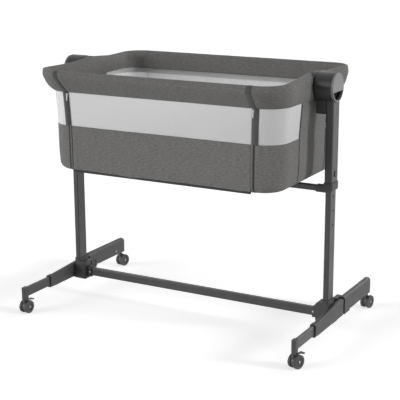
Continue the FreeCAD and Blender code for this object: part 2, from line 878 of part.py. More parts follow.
def make_upper_post():
    outer_x = post_centre + outer_tube_width / 2
    tube_inner_face = post_centre - outer_tube_width / 2
    tube = hollow_bar(
        around(post_centre, outer_tube_width),
        around(0, outer_tube_depth),
        (hub_z - outer_tube_drop, hub_z - outer_tube_top_drop),
        outer_tube_round,
        outer_tube_wall,
        Z_AXIS,
    )
    cope = hub_cylinder(housing_radius + seat_gap, tube_inner_face - cut_far, outer_x + cut_far)
    window = rounded_block(
        (post_centre, outer_x + cut_over),
        around(button_y, button_width + 2 * seat_gap),
        around(hub_z - button_drop, button_height + 2 * seat_gap),
        button_round,
        X_AXIS,
    )
    save_both("upper_post", tube.cut([cope, window]))

    face = outer_x + button_proud
    button = rounded_block(
        (face - button_depth, face),
        around(button_y, button_width),
        around(hub_z - button_drop, button_height),
        button_round,
        X_AXIS,
    )
    scoop_z = hub_z - button_drop + button_scoop_radius / 2
    ridge_z = scoop_z - button_scoop_step
    scoop_start = V(face - button_scoop_depth, button_y, scoop_z)
    scoop = cylinder(button_scoop_radius, scoop_start, V(face + cut_over, button_y, scoop_z))
    ridge_start = V(face - 2 * cut_over, button_y, ridge_z)
    scoop = scoop.cut(cylinder(button_scoop_radius, ridge_start, V(face + 2 * cut_over, button_y, ridge_z)))
    save_both("height_button", button.cut(scoop))


def make_post_collar():
    top = hub_z - post_collar_top_drop
    low = top - post_collar_height
    tube_x = around(post_centre, outer_tube_width)
    tube_y = around(0, outer_tube_depth)
    grow = post_collar_wall + seat_gap
    collar = rounded_block(
        (tube_x[0] - grow, tube_x[1] + grow),
        (tube_y[0] - grow, tube_y[1] + grow),
        (low, top),
        outer_tube_round + grow,
        Z_AXIS,
    )
    bottom = [edge for edge in collar.Edges if edge.CenterOfMass.z < low + running_fit]
    collar = collar.makeChamfer(post_collar_chamfer, bottom)
    pocket = rounded_block(
        (tube_x[0] - seat_gap, tube_x[1] + seat_gap),
        (tube_y[0] - seat_gap, tube_y[1] + seat_gap),
        (hub_z - outer_tube_drop, top + cut_over),
        outer_tube_round,
        Z_AXIS,
    )
    inner_x = around(post_centre, inner_tube_width + 2 * slide_gap)
    inner_y = around(0, inner_tube_depth + 2 * slide_gap)
    passage = rounded_block(inner_x, inner_y, (low - cut_over, top), inner_tube_round, Z_AXIS)
    bar_z = hub_z - upper_bar_drop
    bar_side = upper_bar_size + 2 * (bar_bracket_wall + seat_gap)
    collar_side = tube_x[0] - grow
    arm = rounded_block(
        (bar_bracket_inner, collar_side + sink),
        around(0, bar_side),
        around(bar_z, bar_side),
        upper_bar_round,
        X_AXIS,
    )
    bar_end = collar_side - bar_stop
    bar_hole = rounded_block(
        (bar_bracket_inner - cut_over, bar_end + seat_gap),
        around(0, upper_bar_size + 2 * seat_gap),
        around(bar_z, upper_bar_size + 2 * seat_gap),
        upper_bar_round,
        X_AXIS,
    )
    whole = collar.fuse(arm).cut([pocket, passage, bar_hole])
    save_both("post_collar", whole.removeSplitter())
    bar = hollow_bar(
        (-bar_end, bar_end),
        around(0, upper_bar_size),
        around(bar_z, upper_bar_size),
        upper_bar_round,
        upper_bar_wall,
        X_AXIS,
    )
    save("upper_crossbar", bar)


def make_hub():
    web_start = housing_outer - recess_depth - outer_web
    shell = hub_cylinder(housing_radius, housing_inner, housing_outer)
    inner_edge = []
    for edge in shell.Edges:
        if edge.Curve.TypeId == "Part::GeomCircle" and edge.CenterOfMass.x < housing_inner + running_fit:
            inner_edge.append(edge)
    shell = shell.makeFillet(housing_round, inner_edge)
    room = hub_cylinder(housing_radius - housing_wall, housing_inner + inner_web, web_start)
    room = room.cut(hub_cylinder(boss_radius, housing_inner, web_start + cut_over))
    recess_start = housing_outer - recess_depth
    recess = hub_cylinder(housing_radius - housing_wall, recess_start, housing_outer + cut_over)
    tube_side = post_centre - outer_tube_width / 2
    neck = rounded_block(
        (hub_neck_inner, tube_side - seat_gap),
        (-hub_neck_half_depth, hub_neck_half_depth),
        (hub_z - hub_neck_bottom_drop, hub_z - hub_neck_top_drop),
        hub_neck_round,
        X_AXIS,
    )
    fit = outer_tube_wall + seat_gap
    plug = box(
        around(post_centre, outer_tube_width - 2 * fit),
        around(0, outer_tube_depth - 2 * (fit + outer_tube_round - outer_tube_wall)),
        (hub_z - housing_radius - plug_length, hub_z - housing_radius + housing_wall / 2),
    )
    plug_over = box(
        (housing_outer, housing_outer + cut_far),
        (-housing_radius, housing_radius),
        (hub_z - housing_radius, hub_z),
    )
    plug = plug.cut(plug_over)
    housing = shell.cut([room, recess]).fuse([neck.cut(room), plug.cut([room, recess])])
    housing = housing.cut(
        [
            hub_cylinder(pin_radius + running_fit, housing_inner - cut_over, pin_outer + pin_end_gap),
            hub_cylinder(dial_shaft_radius + running_fit, web_start - cut_over, housing_outer),
        ]
    )
    save_both("hub_housing", housing.removeSplitter())

    ring = hub_cylinder(ring_outer_radius, housing_outer, housing_outer + ring_height)
    ring_room = ring_outer_radius - ring_wall
    ring = ring.cut(hub_cylinder(ring_room, housing_outer - cut_over, housing_outer + ring_height + cut_over))
    save_both("hub_cap", ring)

    face = housing_outer + ring_height
    dial_radius = ring_outer_radius - ring_wall - soft_gap
    plate = hub_cylinder(dial_radius, face - dial_thickness, face)
    keep = box(
        (face - cut_far, face + cut_far),
        (-housing_radius, housing_radius),
        (hub_z - dial_flat_drop, hub_z + housing_radius),
    )
    shaft = hub_cylinder(dial_shaft_radius, web_start + dial_shaft_gap, face - dial_thickness + sink)
    save_both("lock_dial", plate.common(keep).fuse(shaft).removeSplitter())


# -------------------------------------------------------------------- basket
def ring_edges(ring, z):
    """Eight edges round one ring of the basket, from the front left corner on.

    Each corner is an arc.  Each end is one arc drawn in by the ring's waist,
    and tangent to the corners, or a straight line where there is no waist.
    """
    half_length, half_depth, corner, waist = ring
    straight = half_depth - corner
    lean = 0.0
    if waist > 0:
        lean = math.asin(straight * 2 * waist / (waist ** 2 + straight ** 2))
    centre_x = half_length - corner

    def corner_point(side, rear, angle):
        x = side * (centre_x + corner * math.cos(angle))
        y = rear * (straight - corner * math.sin(angle))
        return V(x, y, z)

    def corner_arc(side, rear, backwards):
        angles = [-math.pi / 2, (lean - math.pi / 2) / 2, lean]
        points = [corner_point(side, rear, angle) for angle in angles]
        if backwards:
            points.reverse()
        return Part.Arc(*points).toShape()

    def end_edge(side):
        low = corner_point(side, -1, lean)
        high = corner_point(side, 1, lean)
        start, stop = (low, high) if side > 0 else (high, low)
        if waist > 0:
            return Part.Arc(start, V(side * (half_length - waist), 0, z), stop).toShape()
        return Part.makeLine(start, stop)

    front = Part.makeLine(V(-centre_x, -half_depth, z), V(centre_x, -half_depth, z))
    rear = Part.makeLine(V(centre_x, half_depth, z), V(-centre_x, half_depth, z))
    return [
        front,
        corner_arc(1, -1, False),
        end_edge(1),
        corner_arc(1, 1, True),
        rear,
        corner_arc(-1, 1, False),
        end_edge(-1),
        corner_arc(-1, -1, True),
    ]


def ring_wire(ring, z):
    """A closed ring of the basket at one height."""
    return Part.Wire(ring_edges(ring, z))


def inset(ring, distance):
    """The same ring, smaller by one distance all round."""
    return (ring[0] - distance, ring[1] - distance, ring[2] - distance, ring[3])


def stack(*levels):
    """A solid through rings at rising heights."""
    return Part.makeLoft([ring_wire(ring, z) for ring, z in levels], True, True)


def between(low_ring, low_z, high_ring, high_z, thickness):
    """A wall of one thickness between two rings."""
    outer = stack((low_ring, low_z), (high_ring, high_z))
    inner = stack((inset(low_ring, thickness), low_z), (inset(high_ring, thickness), high_z))
    return outer.cut(inner)


def zip_zone(offset):
    """Everything in front between the two zips, out to an offset beyond each zip."""
    right = [
        (zip_x_bottom + offset, basket_z - cut_far),
        (zip_x_bottom + offset, basket_z),
        (zip_x_mesh + offset, mesh_z),
        (zip_x_band + offset, band_z),
        (zip_x_top + offset, rim_top_z),
        (zip_x_top + offset, rim_top_z + cut_far),
    ]
    left = [(-x, z) for x, z in reversed(right)]
    return polygon_prism(right + left, "Y", -rim_ring[1] - cut_far, -lower_ring[1] / 2)


def rear_zone():
    """Everything behind, between the two rear corners."""
    half = lower_ring[0] - lower_ring[2]
    return box((-half, half), (lower_ring[1] / 2, rim_ring[1] + cut_far), (basket_z, rim_top_z + cut_far))


def end_zone():
    """The full-height panel in the middle of the right end."""
    width = (-end_panel_half_width, end_panel_half_width)
    return box((lower_ring[0] / 2, rim_ring[0] + cut_far), width, (basket_z, rim_top_z + cut_far))


def split_wall(wall):
    """A wall all round, parted at its seams into rear, right end and corners."""
    fixed = wall.cut(zip_zone(zip_gap / 2))
    rear = fixed.common(rear_zone())
    end = fixed.common(end_zone())
    corners = fixed.cut([rear_zone(), end_zone(), mirrored(end_zone())])
    return rear, end, corners


def tube_path(ring, z):
    """The rim tube's line: from the front right corner round the rear to the front left."""
    edges = ring_edges(ring, z)
    return Part.Wire(edges[1:])


def pipe(path, radius):
    """A round bar along a path of tangent lines and arcs."""
    start = path.OrderedEdges[0]
    point = start.valueAt(start.FirstParameter)
    way = start.tangentAt(start.FirstParameter)
    circle = Part.Wire(Part.makeCircle(radius, point, way))
    return path.makePipeShell([circle], True, False)


def rim_solid():
    """The padded rim: flared outside, rounded over the tube, hanging down inside."""
    outer = stack((band_ring, band_z), (rim_ring, rim_z), (rim_top_ring, rim_top_z))
    inner = stack(
        (inset(band_ring, band_hem), band_z),
        (band_inner_ring, inner_band_z),
        (rim_inner_ring, rim_top_z),
    )
    return outer.cut(inner)


def make_walls():
    lower = between(lower_ring, tray_top_z, lower_ring, mesh_z, fabric_thickness)
    rear, end, corners = split_wall(lower)
    save("rear_panel", rear)
    save("corner_panels", corners)

    mesh_wall = between(lower_ring, mesh_z, band_ring, band_z, mesh_thickness)
    mesh_rear, _, mesh_corners = split_wall(mesh_wall)
    save("rear_mesh", mesh_rear)
    save("corner_meshes", mesh_corners)

    upper = between(lower_ring, mesh_z, band_ring, band_z, fabric_thickness).common(end_zone())
    cutout = hub_cylinder(hub_cutout_radius, hub_plate_inner - soft_gap, rim_ring[0] + cut_far)
    panel = end.fuse(upper).cut(cutout).removeSplitter()
    save("end_panels", panel, mirrored(panel))

    front_wall = between(lower_ring, basket_z, lower_ring, mesh_z, fabric_thickness)
    save("panel_fabric", front_wall.common(zip_zone(-zip_gap / 2)))
    save("panel_mesh", mesh_wall.common(zip_zone(-zip_gap / 2)))


def make_rim():
    rim = rim_solid()
    channel = pipe(tube_path(rim_tube_ring, rim_tube_z), rim_tube_radius + soft_gap)
    cutout = hub_cylinder(hub_cutout_radius, hub_plate_inner - soft_gap, rim_ring[0] + cut_far)
    fixed = rim.cut(zip_zone(zip_gap / 2)).cut([channel, cutout, mirrored(cutout)])
    save("rim_cover_rear", fixed.common(rear_zone()))
    save("rim_cover_ends", fixed.cut(rear_zone()))

    path = tube_path(rim_tube_ring, rim_tube_z)
    tube = pipe(path, rim_tube_radius).cut(pipe(path, rim_tube_radius - rim_tube_wall))
    save("rim_tube", tube)

    rail_half = zip_x_band - rail_end
    rail_y = -rim_tube_ring[1]
    start = V(-rail_half, rail_y, rim_tube_z)
    stop = V(rail_half, rail_y, rim_tube_z)
    rail = cylinder(rim_tube_radius, start, stop)
    over = V(2 * cut_over, 0, 0)
    rail_hollow = cylinder(rim_tube_radius - rim_tube_wall, start - over, stop + over)
    save("panel_rail", rail.cut(rail_hollow))
    rail_channel = cylinder(rim_tube_radius + soft_gap, start - over / 2, stop + over / 2)
    save("panel_cover", rim.common(zip_zone(-zip_gap / 2)).cut(rail_channel))

    plate = hub_cylinder(hub_plate_radius, hub_plate_inner, hub_plate_outer)
    bore = hub_cylinder(pin_radius, pin_inner, hub_plate_outer + cut_over)
    plate = plate.cut([channel, bore])
    save("hub_plates", plate, mirrored(plate))
    pin = hub_cylinder(pin_radius, pin_inner, pin_outer)
    save("pivot_pins", pin, mirrored(pin))


def edges_at(shape, z):
    """The edges of a shape that lie at one height."""
    return [edge for edge in shape.Edges if abs(edge.CenterOfMass.z - z) < running_fit]


def make_base():
    tray = stack((lower_ring, basket_z), (lower_ring, tray_top_z))
    tray = tray.makeFillet(tray_round, edges_at(tray, basket_z))
    room_ring = inset(lower_ring, fabric_thickness)
    floor_z = basket_z + fabric_thickness
    room = stack((room_ring, floor_z), (room_ring, tray_top_z + tray_round))
    room = room.makeFillet(tray_round - fabric_thickness, edges_at(room, floor_z))
    front_half = zip_x_bottom + zip_gap / 2
    front = box(
        (-front_half, front_half),
        (-lower_ring[1] - cut_far, -lower_ring[1] + fabric_thickness + zip_gap),
        (basket_z - cut_over, tray_top_z + cut_over),
    )
    save("base_fabric", tray.cut([room, front]))

    tube_ring = inset(room_ring, base_tube_inset)
    tube_z = floor_z + base_tube_radius + seat_gap
    path = ring_wire(tube_ring, tube_z)
    save("base_frame", pipe(path, base_tube_radius).cut(pipe(path, base_tube_radius - base_tube_wall)))

    board_z = tube_z + base_tube_radius + seat_gap
    board_ring = inset(room_ring, board_inset)
    save("base_board", stack((board_ring, board_z), (board_ring, board_z + board_thickness)))

    bed_z = board_z + board_thickness + seat_gap
    bed_ring = inset(room_ring, mattress_inset)
    bed = stack((bed_ring, bed_z), (bed_ring, bed_z + mattress_thickness))
    level = [edge for edge in bed.Edges if abs(edge.tangentAt(edge.FirstParameter).z) < 0.5]
    save("mattress", bed.makeFillet(mattress_round, level))


def make_zip_sliders():
    top = band_z - slider_below_band
    inner = zip_x_band + zip_gap / 2 + slider_side_gap
    face = -band_ring[1] - soft_gap
    body = rounded_block(
        (inner, inner + slider_width),
        (face - slider_thickness, face),
        (top - slider_length, top),
        slider_round,
        Y_AXIS,
    )
    middle = inner + slider_width / 2
    tab_low = top - slider_length / 2 - slider_tab_length
    tab = rounded_block(
        around(middle, slider_tab_width),
        (face - slider_thickness - slider_tab_thickness, face - slider_thickness),
        (tab_low, top - slider_length / 2),
        slider_tab_round,
        Y_AXIS,
    )
    save_both("zip_slider", body.fuse(tab).removeSplitter())


make_casters()
make_extension()
make_foot_beam()
make_rear_arm()
make_post_bracket()
make_lower_post()
make_upper_post()
make_post_collar()
make_hub()
make_walls()
make_rim()
make_base()
make_zip_sliders()
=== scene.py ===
import json
import math

import bpy
import numpy as np
from mathutils import Matrix, Vector


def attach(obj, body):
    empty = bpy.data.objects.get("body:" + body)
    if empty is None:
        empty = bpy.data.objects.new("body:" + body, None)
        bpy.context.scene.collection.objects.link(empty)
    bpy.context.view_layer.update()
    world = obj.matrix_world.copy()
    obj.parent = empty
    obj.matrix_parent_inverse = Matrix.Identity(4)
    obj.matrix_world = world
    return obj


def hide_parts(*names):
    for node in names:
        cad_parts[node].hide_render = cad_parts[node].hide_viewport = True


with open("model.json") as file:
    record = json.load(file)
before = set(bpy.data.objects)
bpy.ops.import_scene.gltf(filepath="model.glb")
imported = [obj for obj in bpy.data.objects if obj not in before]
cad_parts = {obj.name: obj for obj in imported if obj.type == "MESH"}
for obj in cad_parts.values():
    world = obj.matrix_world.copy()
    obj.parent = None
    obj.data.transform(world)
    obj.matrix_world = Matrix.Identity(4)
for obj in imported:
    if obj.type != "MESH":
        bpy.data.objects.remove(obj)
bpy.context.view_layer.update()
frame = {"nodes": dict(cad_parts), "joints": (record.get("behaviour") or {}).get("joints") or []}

# ------------------------------------------------------------------ the camera
# A long lens stands a little above the rim and well round to the right, and looks
# slightly down, so that the front, the right end and the inside all show.
camera_place = Vector((1.564, -2.793, 1.179))
camera_azimuth = math.radians(29.08)
camera_elevation = math.radians(14.55)
camera_roll = math.radians(-0.27)
camera_back = Vector((
    math.sin(camera_azimuth) * math.cos(camera_elevation),
    -math.cos(camera_azimuth) * math.cos(camera_elevation),
    math.sin(camera_elevation),
))
level_right = (-camera_back).cross(Vector((0, 0, 1))).normalized()
level_up = level_right.cross(-camera_back)
camera_right = level_right * math.cos(camera_roll) + level_up * math.sin(camera_roll)
camera_up = level_up * math.cos(camera_roll) - level_right * math.sin(camera_roll)
lens = bpy.data.cameras.new("camera")
lens.lens = 99.3
lens.sensor_width = 36.0
lens.clip_end = 200.0
camera = bpy.data.objects.new("camera", lens)
camera.matrix_world = Matrix.Translation(camera_place) @ Matrix((
    camera_right, camera_up, camera_back,
)).transposed().to_4x4()
scene = bpy.context.scene
scene.collection.objects.link(camera)
scene.camera = camera
scene.view_settings.view_transform = "Standard"


# ------------------------------------------------------------- floor and light
# A pale studio floor that goes on past the picture, a soft light from the right, a
# broad one from the front left, a weak one from behind, and a white room in the gloss.
def shader_node(tree, kind, inputs=None, **settings):
    """A shader node with its settings, whose inputs are values or the outputs that feed them."""
    made = tree.nodes.new(kind)
    for name, value in settings.items():
        setattr(made, name, value)
    for name, value in (inputs or {}).items():
        if isinstance(value, bpy.types.NodeSocket):
            tree.links.new(value, made.inputs[name])
        else:
            made.inputs[name].default_value = value
    return made


def maths(tree, operation, *values, clamp=False):
    """The output of one Math node for the given values."""
    node = shader_node(tree, "ShaderNodeMath", dict(enumerate(values)), operation=operation)
    node.use_clamp = clamp
    return node.outputs[0]


def remap(tree, value, start, stop, to_start=0.0, to_stop=1.0):
    """A value moved from one range to another, and held inside it."""
    return shader_node(tree, "ShaderNodeMapRange", {
        "Value": value, "From Min": start, "From Max": stop, "To Min": to_start, "To Max": to_stop,
    }).outputs[0]


def vector_of(tree, operation, *values, scale=None):
    """The output of one Vector Math node for the given vectors, and a scale where it takes one."""
    node = shader_node(tree, "ShaderNodeVectorMath", dict(enumerate(values)), operation=operation)
    if isinstance(scale, bpy.types.NodeSocket):
        tree.links.new(scale, node.inputs["Scale"])
    elif scale is not None:
        node.inputs["Scale"].default_value = scale
    return node.outputs["Value"] if operation in ("LENGTH", "DISTANCE", "DOT_PRODUCT") else node.outputs[0]


def mix_colour(tree, share, first, second):
    """Two colours mixed by a share from 0 to 1."""
    node = shader_node(tree, "ShaderNodeMix", data_type="RGBA")
    for socket, value in ((node.inputs[0], share), (node.inputs[6], first), (node.inputs[7], second)):
        if isinstance(value, bpy.types.NodeSocket):
            tree.links.new(value, socket)
        else:
            socket.default_value = value
    return node.outputs[2]


def grey(value, warmth=0.0):
    """A grey of one strength, a little yellow where warmth is above 0, with full opacity."""
    return (value * (1 + warmth), value, value * (1 - 2 * warmth), 1.0)


def new_material(name):
    """A material whose tree holds one Principled shader on its output."""
    material = bpy.data.materials.new(name)
    material.use_nodes = True
    tree = material.node_tree
    tree.nodes.clear()
    surface = tree.nodes.new("ShaderNodeBsdfPrincipled")
    output = tree.nodes.new("ShaderNodeOutputMaterial")
    tree.links.new(surface.outputs[0], output.inputs["Surface"])
    return material, tree, surface


def background_rays(tree):
    """1 for rays from the camera, or through gloss or glass, and 0 for light that falls on things."""
    path = tree.nodes.new("ShaderNodeLightPath")
    seen = maths(tree, "MAXIMUM", path.outputs["Is Camera Ray"], path.outputs["Is Glossy Ray"])
    return maths(tree, "MAXIMUM", seen, path.outputs["Is Transmission Ray"])


floor_mesh = bpy.data.meshes.new("floor")
floor_corners = np.array([(-40, -40, 0), (40, -40, 0), (40, 40, 0), (-40, 40, 0)], float)
floor_mesh.from_pydata(floor_corners.tolist(), [], [(0, 1, 2, 3)])
floor = bpy.data.objects.new("floor", floor_mesh)
scene.collection.objects.link(floor)
floor_material, tree, surface = new_material("pale_floor")
to_camera = background_rays(tree)
tree.links.new(mix_colour(tree, to_camera, grey(0.72), grey(0.86)), surface.inputs["Base Color"])
tree.links.new(mix_colour(tree, to_camera, grey(0.0), grey(1.0)), surface.inputs["Emission Color"])
surface.inputs["Emission Strength"].default_value = 0.52
surface.inputs["Roughness"].default_value = 0.9
surface.inputs["Specular IOR Level"].default_value = 0.0
floor_mesh.materials.append(floor_material)

room = bpy.data.worlds.new("room")
room.use_nodes = True
scene.world = room
tree = room.node_tree
tree.nodes.clear()
toward = tree.nodes.new("ShaderNodeTexCoord").outputs["Generated"]
room_parts = shader_node(tree, "ShaderNodeSeparateXYZ", {0: toward}).outputs
behind = remap(tree, room_parts[1], -0.7, 0.4, 0.35, 1.0)
path = tree.nodes.new("ShaderNodeLightPath")
sky = remap(tree, room_parts[2], 0.0, 1.0, 0.55, 0.12)
lit = maths(tree, "MULTIPLY", sky, maths(tree, "SUBTRACT", 1.0, path.outputs["Is Glossy Ray"]))
gloss = maths(tree, "MULTIPLY", behind, path.outputs["Is Glossy Ray"])
seen = maths(tree, "MAXIMUM", path.outputs["Is Camera Ray"], path.outputs["Is Transmission Ray"])
strength = maths(tree, "MAXIMUM", maths(tree, "ADD", lit, gloss), seen)
air = shader_node(tree, "ShaderNodeBackground", {"Color": grey(1.0), "Strength": strength})
tree.links.new(air.outputs[0], shader_node(tree, "ShaderNodeOutputWorld").inputs["Surface"])

for name, direction, power, spread in (
    ("key_light", (1.0, 0.22, 0.34), 1.45, 12.0),
    ("fill_light", (-0.8, -0.9, 0.25), 2.1, 40.0),
    ("back_light", (0.3, 1.0, 0.4), 0.7, 40.0),
):
    lamp = bpy.data.lights.new(name, "SUN")
    lamp.energy = power
    lamp.angle = math.radians(spread)
    light = bpy.data.objects.new(name, lamp)
    light.rotation_mode = "QUATERNION"
    light.rotation_quaternion = Vector(direction).to_track_quat("Z", "Y")
    scene.collection.objects.link(light)


# ------------------------------------------------------------- painted tubes
# The posts, the sliding front feet and the crossbars are drawn tube, cut, drilled
# and powder coated a dark grey with the finest orange peel.
def new_group(name, inputs, outputs):
    """A shader node group with the named inputs and outputs, its tree and its two end nodes."""
    group = bpy.data.node_groups.new(name, "ShaderNodeTree")
    for socket_name, kind, value in inputs:
        socket = group.interface.new_socket(name=socket_name, in_out="INPUT", socket_type="NodeSocket" + kind)
        if value is not None:
            socket.default_value = value
    for socket_name, kind in outputs:
        group.interface.new_socket(name=socket_name, in_out="OUTPUT", socket_type="NodeSocket" + kind)
    return group, group.nodes.new("NodeGroupInput"), group.nodes.new("NodeGroupOutput")


def use_group(tree, group, inputs):
    """One use of a shader node group, with its own input values."""
    return shader_node(tree, "ShaderNodeGroup", inputs, node_tree=group)


def raise_surface(tree, surface, height, distance):
    """Turns a height that changes over the surface into the shader's normal."""
    bump = shader_node(tree, "ShaderNodeBump", {"Height": height, "Distance": distance})
    tree.links.new(bump.outputs[0], surface.inputs["Normal"])


def noise(tree, place, scale, detail=2.0, roughness=0.5):
    """Noise from 0 to 1 at a place, with so many features to the metre."""
    return shader_node(tree, "ShaderNodeTexNoise", {
        "Vector": place, "Scale": scale, "Detail": detail, "Roughness": roughness,
    }).outputs["Fac"]


grain_group, grain_in, grain_out = new_group(
    "surface_grain",
    [("Vector", "Vector", None), ("Grain Size", "Float", 0.0006), ("Patch Size", "Float", 0.03)],
    [("Height", "Float"), ("Patches", "Float"), ("Dust", "Float")],
)
tree = grain_group
place = grain_in.outputs["Vector"]
fine = noise(tree, place, maths(tree, "DIVIDE", 1.0, grain_in.outputs["Grain Size"]), 3.0, 0.6)
patches = noise(tree, place, maths(tree, "DIVIDE", 1.0, grain_in.outputs["Patch Size"]))
height_of_point = shader_node(tree, "ShaderNodeSeparateXYZ", {0: place}).outputs[2]
near_floor = remap(tree, height_of_point, 0.0, 0.11, 1.0, 0.0)
dust = maths(tree, "MULTIPLY", near_floor, maths(tree, "MULTIPLY", patches, fine))
tree.links.new(fine, grain_out.inputs["Height"])
tree.links.new(patches, grain_out.inputs["Patches"])
tree.links.new(dust, grain_out.inputs["Dust"])


def hard_finish(name, colour, roughness, grain, bump, dust=0.25, specular=0.5, metallic=0.0):
    """A paint, plastic or metal: its colour in faint patches, dust low down, and a fine grain."""
    material, tree, surface = new_material(name)
    place = tree.nodes.new("ShaderNodeTexCoord").outputs["Object"]
    pattern = use_group(tree, grain_group, {"Vector": place, "Grain Size": grain})
    patch = pattern.outputs["Patches"]
    deep = tuple(c * 0.88 for c in colour[:3]) + (1.0,)
    pale = tuple(min(c * 1.14, 1.0) for c in colour[:3]) + (1.0,)
    tinted = mix_colour(tree, patch, deep, pale)
    dust_share = maths(tree, "MULTIPLY", pattern.outputs["Dust"], dust)
    dusty = mix_colour(tree, dust_share, tinted, grey(0.3, 0.03))
    tree.links.new(dusty, surface.inputs["Base Color"])
    spread = remap(tree, patch, 0.3, 0.7, roughness - 0.05, roughness + 0.06)
    tree.links.new(spread, surface.inputs["Roughness"])
    surface.inputs["Specular IOR Level"].default_value = specular
    surface.inputs["Metallic"].default_value = metallic
    raise_surface(tree, surface, pattern.outputs["Height"], bump)
    return material


def finish_nodes(material, *names):
    """Gives CAD nodes a finish in all their material slots."""
    for name in names:
        mesh = frame["nodes"][name].data
        if not mesh.materials:
            mesh.materials.append(material)
        for place in range(len(mesh.materials)):
            mesh.materials[place] = material


sides = ("left", "right")
mirrored = (("right", 1), ("left", -1))
corners = ("front_left", "front_right", "rear_left", "rear_right")
powder_coat = hard_finish("powder_coat", (0.03, 0.03, 0.032), 0.36, 0.0007, 0.00004, specular=0.55)
finish_nodes(powder_coat, "lower_crossbar", "upper_crossbar")
for side in sides:
    finish_nodes(powder_coat, f"upper_post_{side}", f"lower_post_{side}", f"front_extension_{side}")

# ------------------------------------------------------------- moulded frame
# The feet, brackets, collars and end caps are glass-filled nylon, moulded with a
# fine spark texture and screwed to the tubes.
moulded_frame = hard_finish("moulded_frame", (0.032, 0.032, 0.034), 0.5, 0.0005, 0.00005)
finish_nodes(moulded_frame, "foot_collars", *[
    f"{part}_{side}" for side in sides
    for part in ("foot_beam", "rear_arm", "post_bracket", "post_collar", "front_end_cap")
])
button_face = hard_finish("button_face", (0.022, 0.022, 0.024), 0.38, 0.0004, 0.00002)
finish_nodes(button_face, *[f"{part}_{side}" for side in sides for part in ("foot_latch", "height_button")])
zinc_steel = hard_finish("zinc_steel", (0.36, 0.36, 0.37), 0.34, 0.0004, 0.00002, metallic=1.0)
finish_nodes(zinc_steel, "frame_screws", "pivot_pins")

# ------------------------------------------------------------------- casters
# Each caster is a hooded body over twin wheels with a soft tread; the front two have
# a foot brake.  All is moulded, and dull with floor dust.
caster_shell = hard_finish("caster_shell", (0.024, 0.024, 0.026), 0.42, 0.0005, 0.00004, dust=0.35)
wheel_tread = hard_finish("wheel_tread", (0.02, 0.02, 0.022), 0.55, 0.0008, 0.00006, dust=0.6)
finish_nodes(caster_shell, *[f"caster_body_{corner}" for corner in corners])
finish_nodes(wheel_tread, *[f"caster_wheels_{corner}" for corner in corners])
finish_nodes(caster_shell, *[f"brake_lever_{side}" for side in sides])


def closed_dish(name, points):
    """A smooth-shaded mesh from rows of points round a middle, its first and last rows single poles.

    Its UV map holds each corner's x and y in metres.
    """
    rows, columns = points.shape[:2]
    count = (rows - 2) * columns
    number = np.arange(count).reshape(rows - 2, columns)
    beside = np.roll(number, -1, axis=1)
    quads = np.stack([number[:-1], beside[:-1], beside[1:], number[1:]], -1).reshape(-1, 4)
    low = np.stack([beside[0], number[0], np.full(columns, count)], -1)
    high = np.stack([number[-1], beside[-1], np.full(columns, count + 1)], -1)
    faces = quads.tolist() + low.tolist() + high.tolist()
    flat = np.concatenate([points[1:-1].reshape(-1, 3), points[:1, 0], points[-1:, 0]])
    a, b, c, d = (flat[quads[:, n]] - flat[-1] for n in range(4))
    volume = (np.einsum("ij,ij->i", a, np.cross(b, c)) + np.einsum("ij,ij->i", a, np.cross(c, d))).sum()
    if volume < 0:
        faces = [face[::-1] for face in faces]
    mesh = bpy.data.meshes.new(name)
    mesh.from_pydata(flat.tolist(), [], faces)
    mesh.polygons.foreach_set("use_smooth", np.ones(len(faces), bool))
    spread = flat[np.concatenate(faces)][:, :2]
    mesh.uv_layers.new(name="cloth").data.foreach_set("uv", np.ascontiguousarray(spread, np.float32).ravel())
    made = bpy.data.objects.new(name, mesh)
    scene.collection.objects.link(made)
    return made


# Each axle ends in a small steel cap on the wheel's face, and a round-headed screw
# holds the crossbar in each bracket.
def turned_cap(name, centre, axis, radius, thickness):
    """A low domed disc that stands on a face, built as a body of revolution of 24 sides."""
    axis = np.asarray(axis, float) / np.linalg.norm(axis)
    across = np.cross(axis, (0.0, 0.0, 1.0))
    across /= np.linalg.norm(across)
    upright = np.cross(axis, across)
    outline = np.array([
        (0.0, -0.3), (0.96, -0.3), (1.0, 0.0), (0.97, 0.45), (0.8, 0.8), (0.45, 0.96), (0.0, 1.0),
    ])
    turn = np.linspace(0, 2 * math.pi, 24, endpoint=False)
    ring = np.cos(turn)[:, None] * across + np.sin(turn)[:, None] * upright
    points = centre + outline[:, 0, None, None] * radius * ring + outline[:, 1, None, None] * thickness * axis
    made = closed_dish(name, points)
    made.data.materials.append(zinc_steel)
    return made


wheel_radius = 0.02
for joint in frame["joints"]:
    if joint["name"].startswith("roll_"):
        corner = joint["name"][5:]
        wheels = frame["nodes"][f"caster_wheels_{corner}"].data
        co = np.zeros(len(wheels.vertices) * 3, np.float32)
        wheels.vertices.foreach_get("co", co)
        co = co.reshape(-1, 3).astype(float)
        axis = np.array(joint["axis"], float)
        beside = np.cross(axis, (0, 0, 1))
        reach, across = co @ axis, co @ beside
        middle = (reach.max() + reach.min()) / 2 * axis + (across.max() + across.min()) / 2 * beside
        middle[2] = wheel_radius
        half_width = (reach.max() - reach.min()) / 2
        for end, word in ((1, "outer"), (-1, "inner")):
            face_middle = middle + end * half_width * axis
            piece = turned_cap(f"axle_cap_{corner}_{word}", face_middle, axis * end, 0.0036, 0.0011)
            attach(piece, f"wheels_{corner}")
for side, turned in mirrored:
    bracket = frame["nodes"][f"post_bracket_{side}"]
    in_front = Vector((turned * 0.389, -0.1, 0.0655))
    place = bracket.ray_cast(in_front, Vector((0, 1, 0)))[1]
    piece = turned_cap(f"crossbar_screw_{side}", np.array(place), (0, -1, 0), 0.0034, 0.0018)
    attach(piece, "base")

